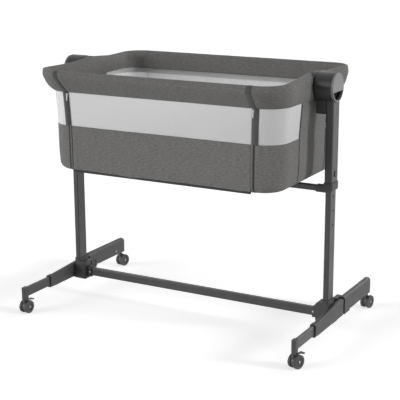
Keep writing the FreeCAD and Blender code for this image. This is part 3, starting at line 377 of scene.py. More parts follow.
# ---------------------------------------------------------------------- hubs
# A round housing on each post holds the basket's pivot.  It is near-black nylon with
# a paler ring and a turning dial over a dark recess.
hub_black = hard_finish("hub_black", (0.022, 0.022, 0.024), 0.4, 0.0005, 0.00004, dust=0.0)
dial_grey = hard_finish("dial_grey", (0.2, 0.2, 0.2), 0.42, 0.0005, 0.00003, dust=0.0)
for side in sides:
    finish_nodes(hub_black, f"hub_housing_{side}")
    finish_nodes(dial_grey, f"hub_cap_{side}", f"lock_dial_{side}")
finish_nodes(moulded_frame, "hub_plates")
finish_nodes(powder_coat, "rim_tube", "panel_rail", "base_frame")

# ------------------------------------------------------------- basket's shape
# The sewn basket is one flared ring at every height.  Its sides are straight, its
# corners round, and above the mesh its ends are drawn in by the hubs.
lower_ring = np.array((0.371, 0.222, 0.068, 0.0))
band_ring = np.array((0.378, 0.226, 0.070, 0.0))
tuck_ring = np.array((0.3775, 0.2258, 0.0695, 0.0))
basket_low, mesh_low, band_low, tuck_high = 0.452, 0.5845, 0.684, 0.6990
cloth_thick, mesh_thick, foot_roll = 0.003, 0.0009, 0.018
end_seam_y = 0.090
rear_seam_x = 0.303
zip_gap = 0.001
hub_axis_z, hub_cut_radius, hub_cut_x = 0.719, 0.0425, 0.3680


def zip_line_x(z):
    """Half the distance between the two zips at a height: straight lines between six measured places."""
    heights = (0.452, 0.52, 0.587, 0.635, 0.684, 0.748)
    return np.interp(z, heights, (0.289, 0.2893, 0.290, 0.2915, 0.294, 0.300))


def quarter_parts(ring):
    """Lengths of a quarter ring: its side, its corner arc R (90 deg + lean) and its end arc (S - R) lean.

    S = (w^2 + s^2) / 2w and sin(lean) = s / S, with s the half depth less the corner radius R,
    and w the waist.
    """
    half_length, half_depth, corner, waist = ring
    straight = half_depth - corner
    waist = np.maximum(waist, 0.00004)
    span = (waist ** 2 + straight ** 2) / (2 * waist)
    lean = np.arcsin(straight / span)
    side = half_length - corner
    return side, corner * (math.pi / 2 + lean), (span - corner) * lean, span, lean, straight


def quarter_point(ring, along):
    """x and y at a distance along a quarter ring, from the middle of the front to the middle of the end."""
    half_length, half_depth, corner, waist = ring
    side, bend, end, span, lean, straight = quarter_parts(ring)
    angle = (along - side) / corner - math.pi / 2
    sweep = lean - (along - side - bend) / (span - corner)
    x = np.where(
        along < side, along,
        np.where(along < side + bend, side + corner * np.cos(angle),
                 side + span * np.cos(lean) - (span - corner) * np.cos(sweep)),
    )
    y = np.where(
        along < side, -half_depth,
        np.where(
            along < side + bend, -straight + corner * np.sin(angle), -(span - corner) * np.sin(sweep)
        ),
    )
    return x, y


def ring_marks(ring, z):
    """Distances round the ring of the right zip, the end and rear seams, and so on to the left zip."""
    side, bend, end, span, lean, straight = quarter_parts(ring)
    quarter = side + bend + end
    corner = ring[2]
    zip_x = zip_line_x(z) + zip_gap / 2
    zip_turn = corner * np.arcsin(np.clip((zip_x - side) / corner, 0, 1))
    zip_along = np.where(zip_x < side, zip_x, side + zip_turn)
    seam = quarter - (span - corner) * np.arcsin(end_seam_y / (span - corner))
    rear_turn = corner * np.arcsin(np.clip((rear_seam_x - side) / corner, 0, 1))
    rear = np.where(rear_seam_x < side, rear_seam_x, np.minimum(rear_seam_x, side + rear_turn))
    return {
        "right zip": zip_along, "left zip": 4 * quarter - zip_along,
        "right front seam": seam, "left front seam": 4 * quarter - seam,
        "right rear seam": 2 * quarter - seam, "left rear seam": 2 * quarter + seam,
        "rear right seam": 2 * quarter - rear, "rear left seam": 2 * quarter + rear,
    }


def round_ring(ring, along):
    """x and y at a distance right round the ring, from four mirrored quarters."""
    side, bend, end = quarter_parts(ring)[:3]
    quarter = side + bend + end
    turn = np.clip(np.floor(along / quarter), 0, 3)
    within = np.where(turn % 2 == 0, along - turn * quarter, (turn + 1) * quarter - along)
    x, y = quarter_point(ring, within)
    return np.where(turn >= 2, -x, x), np.where((turn == 1) | (turn == 2), -y, y)


def wall_ring(z, inward):
    """The ring of the basket's wall at a height, moved in by a distance.

    Below the mesh it is upright, but at the ends drawn in by up to 6 mm as a square over its lowest
    78 mm.  Beside the mesh it flares by 7 mm along and 4 mm across with the share 0.6 t + 0.4 t^2 (3 - 2 t),
    t going from 0 to 1 up the mesh.  Above, it stands upright behind the rim's lower edge.
    """
    t = np.clip((z - mesh_low) / (band_low - mesh_low), 0, 1)
    flare = 0.6 * t + 0.4 * t * t * (3 - 2 * t)
    lean = np.clip((z - band_low) / (tuck_high - band_low), 0, 1)
    ring = [
        low + (high - low) * flare + (tuck - high) * lean
        for low, high, tuck in zip(lower_ring, band_ring, tuck_ring)
    ]
    drawn_in = 0.006 * np.clip((0.53 - z) / 0.078, 0, 1) ** 2
    return ring[0] - inward - drawn_in, ring[1] - inward, ring[2] - inward, ring[3] + 0 * z


def lay_round(rows, z, shares, start, stop, offset=0.0):
    """Points of a strip from one mark of the ring to another.

    rows holds the ring's four sizes for each row, z the heights, shares the places from 0 to 1 between
    the marks, and offset moves points out from the ring.
    """
    ring = [np.asarray(size, float).reshape(-1, 1) + offset * (n < 3) for n, size in enumerate(rows)]
    height = np.asarray(z, float)
    height = height.reshape(-1, 1) if height.ndim == 1 else height
    marks = ring_marks(ring, height)
    low, high = marks[start], marks[stop]
    along = low + (high - low) * np.asarray(shares, float)
    x, y = round_ring(ring, along)
    return np.stack([x, y, np.broadcast_to(height, x.shape)], -1), along


def closed_strip(name, points):
    """A mesh from a grid of points whose rows run round a closed outline, and its columns along the strip.

    Quads join neighbours, the last row joins the first, and ladders of quads close both ends.  Its UV map
    holds metres along the strip and metres round the outline.
    """
    rows, columns = points.shape[:2]
    number = np.arange(rows * columns).reshape(rows, columns)
    after = np.roll(number, -1, axis=0)
    quads = np.stack([number[:, :-1], number[:, 1:], after[:, 1:], after[:, :-1]], -1).reshape(-1, 4)
    rungs = np.arange(rows // 2 - 1)
    ladder = np.stack([rungs, rungs + 1, rows - 2 - rungs, rows - 1 - rungs], -1)
    caps = np.concatenate([number[ladder, 0], number[ladder, -1][:, ::-1]])
    faces = np.concatenate([quads, caps])
    steps = np.linalg.norm(np.diff(points, axis=1), axis=2).mean(0)
    along = np.concatenate([[0], np.cumsum(steps)])
    wrapped = np.concatenate([points, points[:1]])
    around = np.concatenate([[0], np.cumsum(np.linalg.norm(np.diff(wrapped, axis=0), axis=2).mean(1))])
    row_of, column_of = np.divmod(faces, columns)
    back_to_first = (np.arange(4) >= 2) & (row_of == 0) & (np.arange(len(faces)) < len(quads))[:, None]
    uv = np.stack([along[column_of], around[np.where(back_to_first, rows, row_of)]], -1)
    flat = points.reshape(-1, 3)
    a, b, c, d = (flat[faces[:, n]] for n in range(4))
    volume = (np.einsum("ij,ij->i", a, np.cross(b, c)) + np.einsum("ij,ij->i", a, np.cross(c, d))).sum()
    if volume < 0:
        faces, uv = faces[:, ::-1], uv[:, ::-1]
    return new_mesh(name, flat, faces, uv)


def new_mesh(name, points, faces, uv):
    """An object at the origin with a smooth-shaded mesh from arrays of points, quads and corner UVs."""
    mesh = bpy.data.meshes.new(name)
    mesh.vertices.add(len(points))
    mesh.vertices.foreach_set("co", np.ascontiguousarray(points, np.float32).ravel())
    mesh.loops.add(faces.size)
    mesh.loops.foreach_set("vertex_index", np.ascontiguousarray(faces, np.int32).ravel())
    mesh.polygons.add(len(faces))
    mesh.polygons.foreach_set("loop_start", np.arange(0, faces.size, faces.shape[1], dtype=np.int32))
    mesh.update(calc_edges=True)
    mesh.polygons.foreach_set("use_smooth", np.ones(len(faces), bool))
    mesh.uv_layers.new(name="cloth").data.foreach_set("uv", np.ascontiguousarray(uv, np.float32).ravel())
    mesh.validate()
    made = bpy.data.objects.new(name, mesh)
    scene.collection.objects.link(made)
    return made


def dress(piece, material, body, slot_name, *stands_for):
    """Gives a piece its material and the body it rides on, and hides the CAD nodes it stands for; slot_name
    is not used.
    """
    piece.data.materials.append(material)
    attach(piece, body)
    if stands_for:
        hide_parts(*stands_for)
    return piece


# ------------------------------------------------------------------ the cloth
# Heathered polyester in a plain weave, two greys of yarn twisted together, and an
# open warp knit for the windows.  Both are dull and catch a little light at the edge.
weave_group, weave_in, weave_out = new_group(
    "heathered_weave",
    [
        ("Vector", "Vector", None), ("Yarn", "Float", 0.0006),
        ("Dark", "Color", grey(0.1)), ("Light", "Color", grey(0.2)),
    ],
    [("Color", "Color"), ("Height", "Float")],
)
tree = weave_group
place = weave_in.outputs["Vector"]
yarns = vector_of(tree, "SCALE", place, scale=maths(tree, "DIVIDE", 1.0, weave_in.outputs["Yarn"]))
split = shader_node(tree, "ShaderNodeSeparateXYZ", {0: yarns})
warp, weft = split.outputs[0], split.outputs[1]
warp_wave = maths(tree, "SINE", maths(tree, "MULTIPLY", warp, math.pi))
weft_wave = maths(tree, "SINE", maths(tree, "MULTIPLY", weft, math.pi))
over = maths(tree, "GREATER_THAN", maths(tree, "MULTIPLY", warp_wave, weft_wave), 0.0)
under = maths(tree, "SUBTRACT", 1.0, over)
slubs = []
for along, beside, stretch in ((weft, warp, 0.09), (warp, weft, 0.035)):
    yarn_place = shader_node(tree, "ShaderNodeCombineXYZ", {
        0: maths(tree, "MULTIPLY", along, stretch),
        1: maths(tree, "MULTIPLY", maths(tree, "FLOOR", beside), 7.31),
    }).outputs[0]
    slubs.append(noise(tree, yarn_place, 1.0, 1.0))


def on_top(tree, of_warp, of_weft):
    """The warp's value where the warp passes over, and the weft's where it doesn't."""
    return maths(
        tree, "ADD", maths(tree, "MULTIPLY", over, of_warp), maths(tree, "MULTIPLY", under, of_weft)
    )


tone = on_top(tree, *slubs)
crown = on_top(tree, maths(tree, "ABSOLUTE", warp_wave), maths(tree, "ABSOLUTE", weft_wave))
flecks = noise(tree, yarns, 0.35, 2.0, 0.7)
clouds = noise(tree, place, 28.0, 3.0, 0.55)
dashes = noise(tree, vector_of(tree, "MULTIPLY", place, (90.0, 430.0, 0.0)), 1.0, 2.0, 0.6)
share = remap(tree, dashes, 0.35, 0.72, -0.52, 0.12)
for part, weight in ((tone, 0.5), (flecks, 0.7), (clouds, 0.25)):
    share = maths(tree, "ADD", share, maths(tree, "MULTIPLY", part, weight))
share = maths(tree, "MAXIMUM", share, 0.0, clamp=True)
colour = mix_colour(tree, share, weave_in.outputs["Dark"], weave_in.outputs["Light"])
tree.links.new(colour, weave_out.inputs["Color"])
tree.links.new(crown, weave_out.inputs["Height"])

knit_group, knit_in, knit_out = new_group(
    "open_knit",
    [("Vector", "Vector", None), ("Pitch", "Float", 0.002), ("Hole", "Float", 0.25)],
    [("Thread", "Float"), ("Height", "Float")],
)
tree = knit_group
cells_to_metre = maths(tree, "DIVIDE", 1.0, knit_in.outputs["Pitch"])
cells = vector_of(tree, "SCALE", knit_in.outputs["Vector"], scale=cells_to_metre)
cells = vector_of(tree, "MULTIPLY", cells, (1.0, 1 / math.sqrt(3), 0.0))
gaps = []
for shift in ((0.0, 0.0, 0.0), (0.5, 0.5, 0.0)):
    part = vector_of(tree, "FRACTION", vector_of(tree, "ADD", cells, shift))
    part = vector_of(tree, "SUBTRACT", part, (0.5, 0.5, 0.0))
    part = vector_of(tree, "MULTIPLY", part, (1.0, math.sqrt(3), 0.0))
    gaps.append(vector_of(tree, "LENGTH", part))
nearest = maths(tree, "MINIMUM", *gaps)
hole = knit_in.outputs["Hole"]
thread = remap(tree, nearest, maths(tree, "SUBTRACT", hole, 0.05), maths(tree, "ADD", hole, 0.05))
tree.links.new(thread, knit_out.inputs["Thread"])
tree.links.new(nearest, knit_out.inputs["Height"])


def cloth_finish(name, dark, light, yarn=0.0006):
    """Woven cloth, its yarns following the piece's own UV map in metres."""
    material, tree, surface = new_material(name)
    place = shader_node(tree, "ShaderNodeUVMap", uv_map="cloth").outputs[0]
    weave = use_group(tree, weave_group, {"Vector": place, "Yarn": yarn, "Dark": dark, "Light": light})
    tree.links.new(weave.outputs["Color"], surface.inputs["Base Color"])
    surface.inputs["Roughness"].default_value = 0.88
    surface.inputs["Specular IOR Level"].default_value = 0.2
    surface.inputs["Sheen Weight"].default_value = 0.12
    surface.inputs["Sheen Roughness"].default_value = 0.5
    raise_surface(tree, surface, weave.outputs["Height"], 0.00012)
    return material


wall_cloth = cloth_finish("wall_cloth", grey(0.106, 0.015), grey(0.25, 0.015))
# This dark cloth makes the zip tapes and hub facings, and is also painted shade in the seams and under the
# panel's foot.
tape_and_shade_cloth = cloth_finish("tape_and_shade_cloth", grey(0.03), grey(0.07), yarn=0.0005)
ridge_cloth = cloth_finish("ridge_cloth", grey(0.06, 0.01), grey(0.13, 0.01), yarn=0.0005)
binding_cloth = cloth_finish("binding_cloth", grey(0.13, 0.01), grey(0.27, 0.01), yarn=0.0005)
rim_cloth = cloth_finish("rim_cloth", grey(0.10, 0.015), grey(0.232, 0.015))
window_knit, tree, surface = new_material("window_knit")
place = shader_node(tree, "ShaderNodeUVMap", uv_map="cloth").outputs[0]
knit = use_group(tree, knit_group, {"Vector": place, "Pitch": 0.002, "Hole": 0.22})
surface.inputs["Base Color"].default_value = grey(0.8)
surface.inputs["Subsurface Weight"].default_value = 1.0
surface.inputs["Subsurface Radius"].default_value = (1.0, 1.0, 1.0)
surface.inputs["Subsurface Scale"].default_value = 0.004
surface.inputs["Roughness"].default_value = 0.75
surface.inputs["Specular IOR Level"].default_value = 0.25
tree.links.new(knit.outputs["Thread"], surface.inputs["Alpha"])
raise_surface(tree, surface, knit.outputs["Height"], 0.0003)


# --------------------------------------------------------------- lower walls
# Two layers of cloth over thin wadding, cut in a rear piece and four corners, sewn
# to the mesh above and rolled under the base below.
def wall_outline(low, high, thickness, roll=0.0, steps=40, tuck=0.012):
    """Heights and inward distances round the outline of an upright wall.

    The outer face runs up, a half circle turns over the top, and the inner face runs down.  Where roll is
    above 0 the foot of the wall turns under through a quarter circle of that radius and runs in by the tuck.
    """
    half = thickness / 2
    rise = np.linspace(low + (roll if roll else half), high - half, steps)
    over = np.linspace(0, math.pi, 7)[1:-1]
    top_z, top_in = high - half + half * np.sin(over), half - half * np.cos(over)
    if roll:
        bend = np.linspace(math.pi / 2, 0, 11)[:-1]
        outer_z = low + roll - roll * np.sin(bend)
        outer_in = roll - roll * np.cos(bend)
        small = roll - thickness
        inner_z, inner_in = low + roll - small * np.sin(bend[::-1]), roll - small * np.cos(bend[::-1])
        flat_in = np.array([roll + tuck, roll + tuck / 2])
        foot_z, foot_in = np.full(2, low), flat_in
        back_z, back_in = np.full(2, low + thickness), flat_in[::-1]
        z = np.concatenate([foot_z, outer_z, rise, top_z, rise[::-1], inner_z, back_z])
        inward = np.concatenate([
            foot_in, outer_in, 0 * rise, top_in, 0 * rise + thickness, inner_in, back_in,
        ])
    else:
        under = np.linspace(math.pi, 2 * math.pi, 7)[1:-1]
        z = np.concatenate([rise, top_z, rise[::-1], low + half + half * np.sin(under)])
        inward = np.concatenate([0 * rise, top_in, 0 * rise + thickness, half - half * np.cos(under)])
    return z, inward


def soften(points_along, z, size, seed):
    """Slight waves in hung cloth: three crossing sine waves of the given size, in metres."""
    phase = np.random.default_rng(seed).uniform(0, 2 * math.pi, 6)
    s, h = points_along, z
    return size * (
        np.sin(17 * s + 9 * h + phase[0]) * np.sin(23 * h + phase[1])
        + 0.6 * np.sin(41 * s - 26 * h + phase[2]) * np.sin(11 * s + phase[3])
        + 0.3 * np.sin(83 * s + 31 * h + phase[4]) * np.sin(57 * h + phase[5])
    )


def seam_shares(columns, length):
    """Places from 0 to 1 along a strip, evenly spread but ten times closer in the last 9 mm at either end."""
    near = 0.009 / length
    fine = np.linspace(0, near, 10, endpoint=False)
    return np.concatenate([fine, np.linspace(near, 1 - near, columns), 1 - fine[::-1]])


def seam_pinch(shares, length):
    """How far cloth is drawn in beside the seams at its ends: 1.3 mm as a bell 2.4 mm wide."""
    from_end = np.minimum(shares, 1 - shares) * length
    return -0.0013 * np.exp(-(from_end / 0.0024) ** 2)


def wall_strip(name, z, inward, start, stop, columns, wave, seed):
    """A strip of the basket's wall between two marks, on the wall's ring at each height."""
    rows = wall_ring(z, inward)
    flat, along = lay_round(rows, z, np.linspace(0, 1, 2), start, stop)
    length = (along[:, 1] - along[:, 0]).mean()
    shares = seam_shares(columns, length)
    flat, along = lay_round(rows, z, shares, start, stop)
    upper = np.clip((z.reshape(-1, 1) - basket_low - 0.01) / 0.03, 0, 1)
    ease = np.clip((np.minimum(shares, 1 - shares) * length - 0.012) / 0.02, 0, 1) * upper
    offset = ease * soften(along, z.reshape(-1, 1), wave, seed) + seam_pinch(shares, length)
    points, _ = lay_round(rows, z, shares, start, stop, offset)
    return closed_strip(name, points)


wall_top = mesh_low + 0.0015
lower_z, lower_in = wall_outline(basket_low, wall_top, cloth_thick, roll=foot_roll)
corner_marks = (
    ("front_right", "right zip", "right front seam"),
    ("rear_right", "right rear seam", "rear right seam"),
    ("rear_left", "rear left seam", "left rear seam"),
    ("front_left", "left front seam", "left zip"),
)
for corner, start, stop in corner_marks:
    piece = wall_strip(f"wall_corner_{corner}", lower_z, lower_in, start, stop, 60, 0.0004, 3)
    dress(piece, wall_cloth, "basket", "outer_fabric", "corner_panels")
piece = wall_strip("wall_rear", lower_z, lower_in, "rear right seam", "rear left seam", 160, 0.0006, 4)
dress(piece, wall_cloth, "basket", "outer_fabric", "rear_panel")

# --------------------------------------------------------------- end panels
# One full-height piece of the same cloth at each end, cut out round the hub and
# sewn to the corners at both sides.
for name, start, stop in (
    ("end_panel_right", "right front seam", "right rear seam"),
    ("end_panel_left", "left rear seam", "left front seam"),
):
    z, inward = wall_outline(basket_low, tuck_high, cloth_thick, roll=foot_roll, steps=60)
    shares = seam_shares(91, 2 * end_seam_y)
    y = np.abs(shares - 0.5) * 2 * end_seam_y
    top = np.where(
        y < hub_cut_radius,
        hub_axis_z - np.sqrt(np.clip(hub_cut_radius ** 2 - y ** 2, 0, None)),
        tuck_high,
    )
    top = np.minimum(top, tuck_high)
    turn = basket_low + 0.03
    stretch = (top - turn) / (tuck_high - turn)
    height = np.where(z[:, None] > turn, turn + (z[:, None] - turn) * stretch, z[:, None])
    pulled = inward[:, None] - seam_pinch(shares, 2 * end_seam_y)
    pulled = pulled - soften(y + 0 * height, height, 0.0004, 6) * np.clip((height - 0.49) / 0.03, 0, 1)
    rows = wall_ring(height, pulled)
    marks = ring_marks(rows, height)
    along = marks[start] + (marks[stop] - marks[start]) * shares
    x, y = round_ring(rows, along)
    piece = closed_strip(name, np.stack([x, y, height + 0 * x], -1))
    dress(piece, wall_cloth, "basket", "outer_fabric", "end_panels")

# ------------------------------------------------------------- mesh windows
# Open knit, one layer, pulled smooth between the cloth below and the rim above.
knit_z, knit_in_by = wall_outline(mesh_low, tuck_high, mesh_thick, steps=36)
knit_in_by = knit_in_by + 0.0012
for corner, start, stop in corner_marks:
    piece = wall_strip(f"window_{corner}", knit_z, knit_in_by, start, stop, 50, 0.0003, 5)
    dress(piece, window_knit, "basket", "window_mesh", "corner_meshes")
piece = wall_strip("window_rear", knit_z, knit_in_by, "rear right seam", "rear left seam", 150, 0.0003, 5)
dress(piece, window_knit, "basket", "window_mesh", "rear_mesh")


# ------------------------------------------------------------------- the rim
# Padded cloth wrapped over a tube: it flares out from the mesh, rounds over the top
# and hangs down inside as a plain band.
rim_outline = np.array([
    (378.8, 226.5, 70.0, 0.0, 684.0),
    (384.5, 234.0, 72.0, 1.6, 689.5),
    (389.3, 247.5, 75.0, 4.8, 702.0),
    (391.8, 260.5, 82.0, 8.4, 715.5),
    (393.2, 270.8, 88.0, 11.0, 727.5),
    (393.4, 274.4, 90.0, 12.0, 736.0),
    (391.6, 273.0, 86.0, 12.0, 743.0),
    (386.4, 268.6, 70.0, 12.6, 748.4),
    (380.0, 262.6, 56.0, 13.0, 750.2),
    (374.0, 257.2, 50.0, 13.0, 748.4),
    (368.5, 252.0, 54.0, 12.6, 742.5),
    (366.0, 247.0, 54.0, 12.0, 734.0),
    (365.4, 238.0, 38.0, 10.4, 720.0),
    (365.8, 228.0, 34.0, 8.0, 709.0),
    (366.4, 219.6, 38.0, 6.4, 701.4),
    (367.2, 219.2, 44.0, 6.0, 699.8),
    (370.6, 221.8, 54.0, 4.0, 699.7),
    (375.6, 224.6, 66.0, 1.2, 699.5),
    (377.2, 225.6, 69.0, 0.4, 697.0),
    (377.6, 225.8, 69.6, 0.1, 689.0),
]) / 1000


def smooth_loop(keys, count):
    """A closed Catmull-Rom curve through the key rows, even in length.

    p(t) = p1 + t (p2 - p0) / 2 + t^2 (p0 - 5/2 p1 + 2 p2 - p3 / 2) + t^3 (3/2 (p1 - p2) + (p3 - p0) / 2)
    """
    t = np.linspace(0, 1, 24, endpoint=False)[None, :, None]
    p0, p1, p2, p3 = (np.roll(keys, shift, axis=0)[:, None, :] for shift in (1, 0, -1, -2))
    dense = (
        p1 + t * (p2 - p0) / 2 + t ** 2 * (p0 - 2.5 * p1 + 2 * p2 - p3 / 2)
        + t ** 3 * (1.5 * (p1 - p2) + (p3 - p0) / 2)
    ).reshape(-1, keys.shape[1])
    closed = np.concatenate([dense, dense[:1]])
    length = np.concatenate([[0], np.cumsum(np.linalg.norm(np.diff(closed[:, [1, -1]], axis=0), axis=1))])
    even = np.linspace(0, length[-1], count, endpoint=False)
    return np.stack([np.interp(even, length, closed[:, n]) for n in range(keys.shape[1])], -1)


rim_rows = smooth_loop(rim_outline, 84)


def press_in_hub(points):
    """Inside the hub's round cut-out the rim's outer face is pressed in to the hub plate."""
    reach = np.hypot(points[..., 1], points[..., 2] - hub_axis_z)
    free = np.clip((reach - hub_cut_radius + 0.001) / 0.003, 0, 1)
    limit = hub_cut_x + 0.04 * free * free
    x = points[..., 0]
    pressed = np.sign(x) * np.minimum(np.abs(x), limit)
    return np.concatenate([pressed[..., None], points[..., 1:]], -1)


def lift_ends(points):
    """The middle of each end of the rim stands up to 7 mm higher, as a cosine bell 120 mm to each side."""
    x, y, z = points[..., 0], points[..., 1], points[..., 2]
    bell = 0.5 + 0.5 * np.cos(math.pi * np.clip(np.abs(y) / 0.12, 0, 1))
    high = np.clip((z - 0.70) / 0.048, 0, 1) * (np.abs(x) > 0.33)
    return np.stack([x, y, z + 0.007 * bell * high], -1)


def rim_strip(name, start, stop, columns, seed):
    """A length of the padded rim between two marks, drawn in a little at its sewn ends."""
    rows = rim_rows[:, :4].T
    flat, along = lay_round(rows, rim_rows[:, 4], np.linspace(0, 1, 2), start, stop)
    length = (along[:, 1] - along[:, 0]).mean()
    shares = seam_shares(columns, length)
    flat, along = lay_round(rows, rim_rows[:, 4], shares, start, stop)
    upper = np.clip((rim_rows[:, 4:5] - 0.69) / 0.03, 0, 1)
    upper = upper * np.clip((np.minimum(shares, 1 - shares) * length - 0.016) / 0.02, 0, 1)
    offset = seam_pinch(shares, length) + upper * soften(along, rim_rows[:, 4:5], 0.0005, seed)
    points, _ = lay_round(rows, rim_rows[:, 4], shares, start, stop, offset)
    return closed_strip(name, press_in_hub(lift_ends(points)))


for name, start, stop, columns, node in (
    ("rim_right", "right zip", "rear right seam", 330, "rim_cover_ends"),
    ("rim_left", "rear left seam", "left zip", 330, "rim_cover_ends"),
    ("rim_rear", "rear right seam", "rear left seam", 170, "rim_cover_rear"),
):
    piece = rim_strip(name, start, stop, columns, 7)
    dress(piece, rim_cloth, "basket", "rim_fabric", node)


# -------------------------------------------------------- drop-down panel
# The whole front between the zips: cloth below, mesh in the middle and a padded
# top round a rail.  It hinges along its lower edge.
def panel_strip(name, z, inward, columns, wave, seed, ring_rows=None):
    """A strip of the front from one zip to the other, on the ring's straight front side."""
    half = (zip_line_x(z) - zip_gap / 2).reshape(-1, 1)
    shares = 2 * seam_shares(columns, 0.58) - 1
    x = half * shares
    depth = (wall_ring(z, inward)[1] if ring_rows is None else ring_rows).reshape(-1, 1)
    edge = np.clip((1 - np.abs(shares)) * 12 - 0.5, 0, 1)
    offset = edge * soften(x, z.reshape(-1, 1), wave, seed) + 0.6 * seam_pinch(0.5 + shares / 2, 0.58)
    y = -(depth + offset)
    return closed_strip(name, np.stack([x, y, z.reshape(-1, 1) + 0 * x], -1))


z, inward = wall_outline(basket_low, wall_top, cloth_thick, roll=0.0036, steps=44, tuck=0.0006)
piece = panel_strip("panel_cloth", z, inward, 150, 0.0006, 8)
dress(piece, wall_cloth, "drop_panel", "outer_fabric", "panel_fabric")
# A dark binding along the panel's foot; its dark colour also paints the shade under the rolled foot.
z, inward = wall_outline(basket_low - 0.0025, basket_low + 0.0055, 0.0042, steps=8)
piece = panel_strip("panel_hem_and_shade", z, inward - 0.0006, 150, 0.0, 8)
dress(piece, tape_and_shade_cloth, "drop_panel", "outer_fabric")
piece = panel_strip("panel_window", knit_z, knit_in_by, 150, 0.0003, 9)
dress(piece, window_knit, "drop_panel", "window_mesh", "panel_mesh")
piece = panel_strip("panel_rim", rim_rows[:, 4], None, 170, 0.0005, 10, ring_rows=rim_rows[:, 1])
dress(piece, rim_cloth, "drop_panel", "rim_fabric", "panel_cover")

# ------------------------------------------------------- zips and sewn edges
# A coil zip on a dark tape runs up each front corner from under the base.  Beside the
# mesh it is covered by a padded ridge, and over the rim by a flat strip.  Dark strips
# lie in the seams: dark thread, and painted shade in the grooves where the cloth is drawn in.
rim_inner_end = int(np.argmin(np.hypot(rim_rows[:, 1] - 0.2196, rim_rows[:, 4] - 0.7014)))


def outside_path(foot_turn, highest, step):
    """Stations up the basket's outside: ring sizes, height and the two parts of the outward normal.

    They start foot_turn degrees round the rolled foot, go up the wall and the mesh, and over the rim
    down to its inner edge, or stop at the highest z.
    """
    turn = np.radians(np.linspace(foot_turn, 0, 14))[:-1]
    lowest = basket_low + foot_roll
    z = np.concatenate([lowest - foot_roll * np.sin(turn), np.linspace(lowest, band_low, 120)])
    inward = np.concatenate([foot_roll - foot_roll * np.cos(turn), np.zeros(120)])
    wall = np.stack([*wall_ring(z, inward), z], -1)
    keys = wall[wall[:, 4] <= highest] if highest else np.concatenate([wall, rim_rows[1:rim_inner_end]])
    length = np.concatenate([[0], np.cumsum(np.hypot(*np.diff(keys[:, [1, 4]], axis=0).T))])
    even = np.linspace(0, length[-1], int(length[-1] / step))
    sizes = np.stack([np.interp(even, length, keys[:, n]) for n in range(5)], -1)
    lean, rise = np.gradient(sizes[:, 1]), np.gradient(sizes[:, 4])
    size = np.hypot(lean, rise)
    return sizes[:, :4], sizes[:, 4], rise / size, -lean / size


def ribbon(name, path, mark, turned, beyond, height):
    """A strip that follows a path beside a mark of the ring, mirrored to the left where turned is -1.

    beyond and height hold the closed cross-section: distances past the mark, and heights over the cloth.
    """
    sizes, z, out, up = path
    beyond, height = (np.asarray(v, float).reshape(len(v), -1) for v in (beyond, height))
    ring = [sizes[None, :, n] + (height * out if n < 3 else 0 * height) for n in range(4)]
    level = z + height * up
    x, y = round_ring(ring, ring_marks(ring, level)[mark] + beyond)
    return closed_strip(name, np.stack([x * turned, y, level + 0 * x], -1))


def flat_tape(start, stop, thick, columns=8):
    """The cross-section of a tape between two distances: soft edges, its underside 0.8 mm in the cloth."""
    across = np.linspace(start, stop, columns)
    top = np.full(columns, thick)
    top[[0, -1]] = thick * 0.3
    return np.concatenate([across, across[::-1]]), np.concatenate([top, np.full(columns, -0.0008)])


def part_of_path(path, lowest, highest):
    """The stations of a path on the outside of the basket between two heights."""
    kept = (path[1] >= lowest) & (path[1] <= highest) & (path[2] > 0.3)
    return [values[kept] for values in path]


full_path = outside_path(75, None, 0.0015)
rim_path = [values[int(np.argmax(full_path[1] > band_low - 0.002)):] for values in full_path]
seam_path = outside_path(60, band_low, 0.002)
coil_path = part_of_path(outside_path(60, band_low, 0.0003), 0, mesh_low + 0.002)
turn = np.linspace(0, math.pi, 9)
tooth = np.sin(2 * math.pi * np.arange(len(coil_path[1])) * 0.0003 / 0.0018)
coil_across = 0.0027 + 0.0024 * np.concatenate([-np.cos(turn), np.cos(turn)])
coil_top = np.concatenate([0.0014 * np.sin(turn), np.full(9, -0.0006)])[:, None]
coil_height = coil_top * (1 + 0.2 * tooth * (coil_top > 0))
ridge_across = np.array([0.0003, 0.0025, 0.0060, 0.0090, 0.0104, 0.0118, 0.0150, 0.0180, 0.0200])
ridge_top = np.array([0.0001, 0.0008, 0.0022, 0.0034, 0.0038, 0.0034, 0.0021, 0.0009, 0.0001])
ridge_across = np.concatenate([ridge_across, ridge_across[::-1]])
ridge_top = np.concatenate([ridge_top, np.full(9, -0.0008)])
tape_path = part_of_path(full_path, 0, mesh_low + 0.001)
ridge_path = part_of_path(full_path, mesh_low - 0.001, band_low + 0.004)
# Each 2 mm seam strip is dark thread, and also painted shade in the seam's drawn-in groove.
seam_thread_and_shade = flat_tape(-0.001, 0.001, 0.0001, 4)
for side, turned in mirrored:
    for name, material, mark, route, outline in (
        ("zip_coil", binding_cloth, "right zip", coil_path, (coil_across, coil_height)),
        ("zip_tape", tape_and_shade_cloth, "right zip", tape_path, flat_tape(0.0002, 0.0105, 0.0004)),
        ("zip_ridge", ridge_cloth, "right zip", ridge_path, (ridge_across, ridge_top)),
        ("zip_rim_strip", ridge_cloth, "right zip", rim_path, flat_tape(0.0002, 0.0145, 0.0006)),
        ("seam_front_end", tape_and_shade_cloth, "right front seam", seam_path, seam_thread_and_shade),
        ("seam_rear_end", tape_and_shade_cloth, "right rear seam", seam_path, seam_thread_and_shade),
        ("seam_rear", tape_and_shade_cloth, "rear right seam", full_path, seam_thread_and_shade),
    ):
        piece = ribbon(f"{name}_{side}", route, mark, turned, *outline)
        dress(piece, material, "basket", "outer_fabric")


